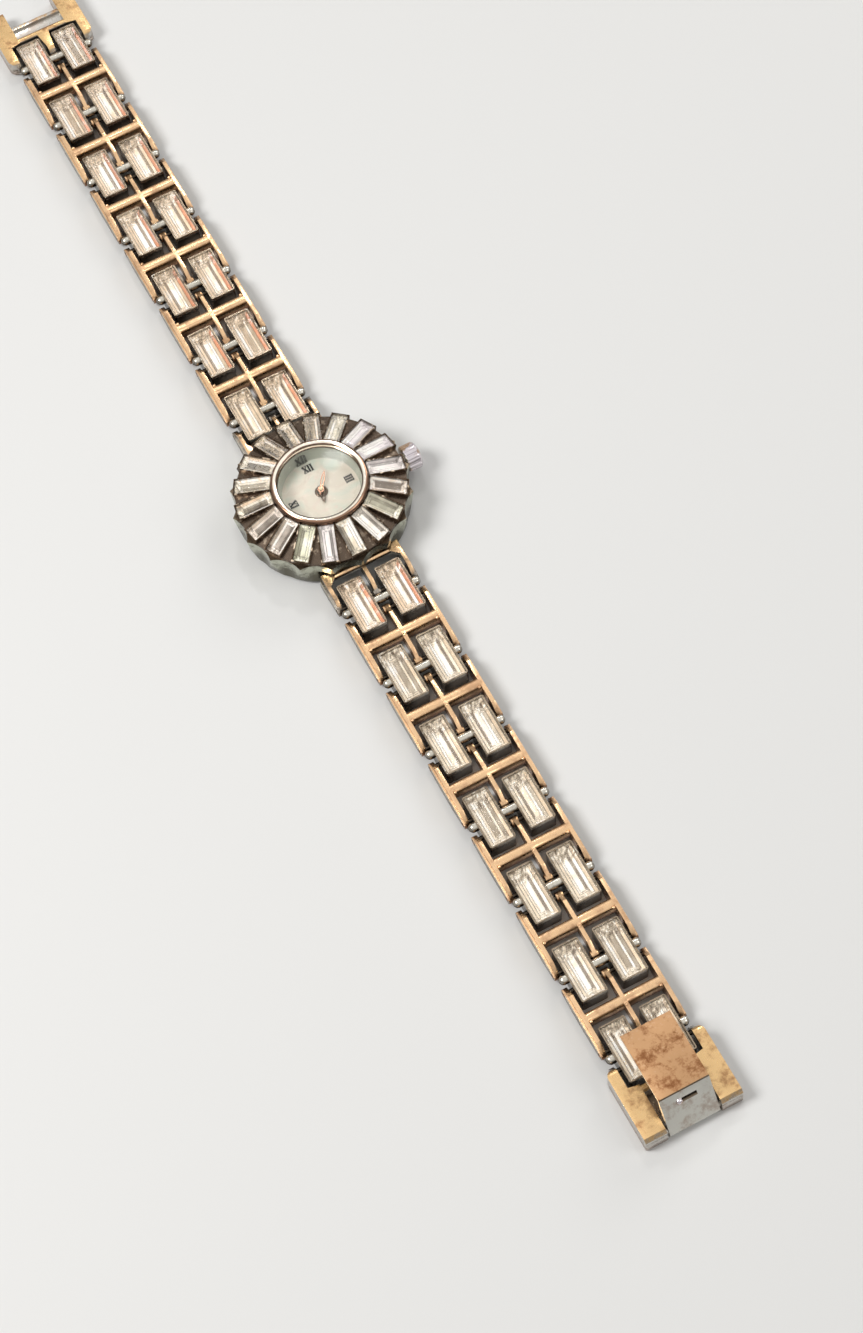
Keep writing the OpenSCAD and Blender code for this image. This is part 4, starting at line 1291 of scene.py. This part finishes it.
@dataclass
class Bracelet:
    """Both halves of the bracelet: frames, cup links and their stones."""

    bench: Bench
    cut: StoneCut = StoneCut(
        7.12, 3.02, 0.25, ((0.19, 0.34), (0.23, 0.21)), ((0.34, 0.3), (0.32, 0.2), (0.22, 0.1)),
        0.075,
    )
    side_depth: float = 0.12
    rim_z: float = 2.62
    # The baguettes' facet brightnesses are painted reflections, and those past 1 painted
    # highlights.
    patterns: tuple[StoneTones, ...] = (
        StoneTones((0.95, 0.86, 1.02, 0.80, 0.45, 1.14), 0.84, 0.98, 0.03, 0.05, 1.04),
        StoneTones((0.97, 0.90, 0.92, 0.99, 1.14, 0.40), 0.84, 0.98, 0.03, 0.05, 1.10),
        StoneTones((0.92, 0.97, 1.14, 0.60, 0.98, 1.04), 0.84, 0.98, 0.03, 0.05, 0.58),
        StoneTones((0.97, 0.84, 0.95, 1.12, 1.00, 0.50), 0.84, 0.98, 0.03, 0.05, 1.14),
    )
    rose: Colour = (0.90, 0.44, 0.31)
    blush: Colour = (1.0, 0.92, 0.84)
    white: Colour = (1.0, 1.0, 1.0)
    rosy_near: float = 0.9
    rosy_far: float = 0.12

    def build(self) -> None:
        """Builds both halves from the head outwards."""
        for half in Half:
            self.rails(f"end_piece_{half.value}", "end_gilding")
            for cell in range(1, CELLS + 1):
                self.cups(f"link_{half.value}_{cell}")
                self.baguettes(half, cell)
                if cell < CELLS:
                    self.rails(f"frame_{half.value}_{cell}", "rail_gilding")

    def rails(self, node: str, finish: str) -> None:
        """Finishes a frame or end piece, gilt with silver outer sides.

        Args:
            node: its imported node.
            finish: its gilding's name.
        """
        made = self.bench.soft(node, finish, SoftEdge(0.06))
        edge = max(abs(corner[0]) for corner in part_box(node)) - self.side_depth * MM
        self.bench.add_finish(
            made, "rail_side_silver",
            lambda face: abs(face.normal.x) > 0.8 and abs(face.center.x) > edge,
        )

    def cups(self, node: str) -> None:
        """Finishes a link's two cups, their bar and the hinge pins, with dark lips of painted
        shade.
        """
        made = self.bench.soft(node, "cup_silver", SoftEdge(0.03, 1))
        self.bench.add_finish(made, "cup_rim_painted_shade", lambda face: face.center.z > self.rim_z * MM)

    def baguettes(self, half: Half, cell: int) -> None:
        """Sets the two stones of a link over their backings.

        Args:
            half: the half that they are in.
            cell: the link's number from the head.
        """
        spot = f"{half.value}_{cell}"
        node = f"stones_{spot}"
        low, high = (Vector(corner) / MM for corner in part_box(node))
        seed = random.Random(cell * 2 + (half is Half.SIX))
        near_head = cell == 1 or half is Half.TWELVE
        clear, backs = [], []
        for x in (low.x + self.cut.width / 2, high.x - self.cut.width / 2):
            rosy = seed.random() < (self.rosy_near if near_head else self.rosy_far)
            tones = replace(
                seed.choice(self.patterns), tint=self.blush if near_head else self.white,
                edge_tint=self.rose if rosy else self.blush,
            )
            place = moved(x, (low.y + high.y) / 2, high.z - self.cut.crown_rise)
            clear.append(placed(self.cut.glass(), place))
            backs.append(placed(self.cut.backing(seed, tones), place))
        self.bench.piece(join(clear), f"baguettes_{spot}", "stone_glass", node)
        self.bench.piece(join(backs), f"baguette_backs_{spot}", "baguette_backing", node)


# ---- The clasp --------------------------------------------------------------------------


@dataclass
class Clasp:
    """The catch, the clasp frame and its folding lever."""

    bench: Bench
    slot_reach: float = 1.35
    slot_z: Span = (4.3, 5.05)
    fold_z: float = 5.78
    rivet_r: float = 0.43
    rivet_at: tuple[float, float, float] = (-0.95, -90.78, 4.62)

    def build(self) -> None:
        """Finishes the three pieces of the clasp and the lever's rivet."""
        for node in ("clasp_catch", "clasp_frame"):
            self.bench.soft(node, "cheek_gilding", SoftEdge(0.1, 3))
        lever = self.bench.soft("clasp_lever", "lever_patina", SoftEdge(0.07))
        # The lever's slot and the fold above it take painted shade.
        self.bench.add_finish(lever, "painted_recess_shade", self.in_painted_shade)
        self.rivet()

    def in_painted_shade(self, face: bpy.types.MeshPolygon) -> bool:
        """Tells whether a face of the lever lines its slot or runs along the fold above it.

        Args:
            face: the face.

        Returns:
            Whether it takes the painted shade.
        """
        at, out = face.center / MM, face.normal
        if at.z > self.fold_z:
            return out.y < -0.2 and out.z < 0.95
        in_slot = abs(at.x) < self.slot_reach and self.slot_z[0] < at.z < self.slot_z[1]
        return in_slot and abs(out.y) < 0.3

    def rivet(self) -> None:
        """Sets the bright round rivet beside the slot in the lever's front wall."""
        mesh = bmesh.new()
        bmesh.ops.create_uvsphere(mesh, u_segments=24, v_segments=12, radius=self.rivet_r)
        smooth(mesh, 60.0)
        ball = placed(mesh, moved(*self.rivet_at))
        self.bench.piece(ball, "lever_rivet", "crown_silver", body="lever", slot="lever_metal")


# ---- The studio -------------------------------------------------------------------------


@dataclass(frozen=True)
class SoftBox:
    """A square lamp that faces the watch: its name, place, side and power."""

    name: str
    at: tuple[float, float, float]
    size: float
    watts: float


@dataclass
class Studio:
    """The pale table, the lamps and the camera, in millimetres."""

    camera_at: Vector = field(default_factory=lambda: Vector((-58.86, -188.75, 321.69)))
    right: Vector = field(default_factory=lambda: Vector((0.88398, -0.46255, -0.068)))
    down: Vector = field(default_factory=lambda: Vector((-0.43756, -0.76732, -0.46879)))
    ahead: Vector = field(default_factory=lambda: Vector((0.16466, 0.44416, -0.88069)))
    focal_px: float = 3000.0
    frame_px: tuple[int, int] = (863, 1333)
    sensor: float = 36.0
    table_reach: float = 1500.0
    pale: Colour = (0.74, 0.735, 0.72)
    low_sky: Colour = (0.22, 0.21, 0.20)
    high_sky: Colour = (0.98, 0.97, 0.95)
    dome_light: float = 0.4
    lamps: tuple[SoftBox, ...] = (
        SoftBox("key", (-300.0, 40.0, 400.0), 180.0, 1.7),
        SoftBox("fill", (330.0, -260.0, 300.0), 260.0, 0.45),
        SoftBox("side", (420.0, 220.0, 260.0), 200.0, 0.6),
        SoftBox("glint", (135.0, 285.0, 390.0), 50.0, 0.24),
    )

    def build(self) -> None:
        """Builds the table, the lamps, the world and the camera."""
        self.table()
        self.world()
        for box in self.lamps:
            self.lamp(box)
        self.camera()
        scene = bpy.context.scene
        scene.view_settings.view_transform = "Standard"
        scene.cycles.transparent_max_bounces = 24

    def add(self, name: str, data: bpy.types.ID) -> bpy.types.Object:
        """Puts a new object in the scene.

        Args:
            name: its name.
            data: its mesh, lamp or camera data.

        Returns:
            The object.
        """
        obj = bpy.data.objects.new(name, data)
        bpy.context.scene.collection.objects.link(obj)
        return obj

    def table(self) -> None:
        """Lays a wide pale table under the watch."""
        mesh = bmesh.new()
        bmesh.ops.create_grid(mesh, x_segments=1, y_segments=1, size=self.table_reach * MM)
        data = bpy.data.meshes.new("table")
        mesh.to_mesh(data)
        mesh.free()
        top = Surface("table_top")
        top.shade(Base_Color=self.pale, Roughness=0.75)
        data.materials.append(top.material)
        self.add("table", data)

    def world(self) -> None:
        """Lights the scene softly from a dome, brighter overhead, with a pale backdrop.

        The dome is at full strength in glass, in metal and behind the table, and dimmer as a
        light on the watch.
        """
        world = bpy.data.worlds.new("studio_dome")
        bpy.context.scene.world = world
        world.use_nodes = True
        sky = Wiring(world.node_tree)
        sky.tree.nodes.clear()
        place = sky.node("TexCoord").outputs["Generated"]
        up = sky.node("SeparateXYZ", Vector=place).outputs["Z"]
        tone = sky.mix(sky.ranged(up, (0.0, 0.85)), self.low_sky, self.high_sky)
        rays = sky.node("LightPath").outputs
        seen = sky.math("MAXIMUM", rays["Is Glossy Ray"], rays["Is Transmission Ray"])
        seen = sky.math("MAXIMUM", seen, rays["Is Camera Ray"])
        strength = sky.math("MULTIPLY_ADD", seen, 1.0 - self.dome_light, self.dome_light)
        backdrop = sky.mix(rays["Is Camera Ray"], tone, self.pale)
        glow = sky.node("Background", Color=backdrop, Strength=strength)
        sky.node("OutputWorld", i0=glow.outputs[0])

    def lamp(self, box: SoftBox) -> None:
        """Hangs a lamp so that it faces the watch.

        Args:
            box: the lamp.
        """
        light = bpy.data.lights.new(box.name, "AREA")
        light.size = box.size * MM
        light.energy = box.watts
        obj = self.add(box.name, light)
        obj.location = Vector(box.at) * MM
        obj.rotation_euler = (-Vector(box.at)).to_track_quat("-Z", "Y").to_euler()

    def camera(self) -> None:
        """Stands the camera where the photograph was taken from."""
        lens = bpy.data.cameras.new("camera")
        lens.sensor_fit = "VERTICAL"
        lens.sensor_height = self.sensor
        lens.lens = self.focal_px / self.frame_px[1] * self.sensor
        lens.clip_start = 0.01
        lens.clip_end = 10.0
        obj = self.add("camera", lens)
        turn = Matrix((self.right, -self.down, -self.ahead)).transposed()
        obj.matrix_world = Matrix.Translation(self.camera_at * MM) @ turn.to_4x4()
        bpy.context.scene.camera = obj


def main() -> None:
    """Builds the studio and the watch."""
    logging.basicConfig(level=logging.INFO, format="%(name)s: %(message)s")
    Studio().build()
    bench = Bench()
    for part in (WatchHead(bench), Bracelet(bench), Clasp(bench)):
        LOG.info("building %s", type(part).__name__)
        part.build()


if __name__ == "__main__":
    main()
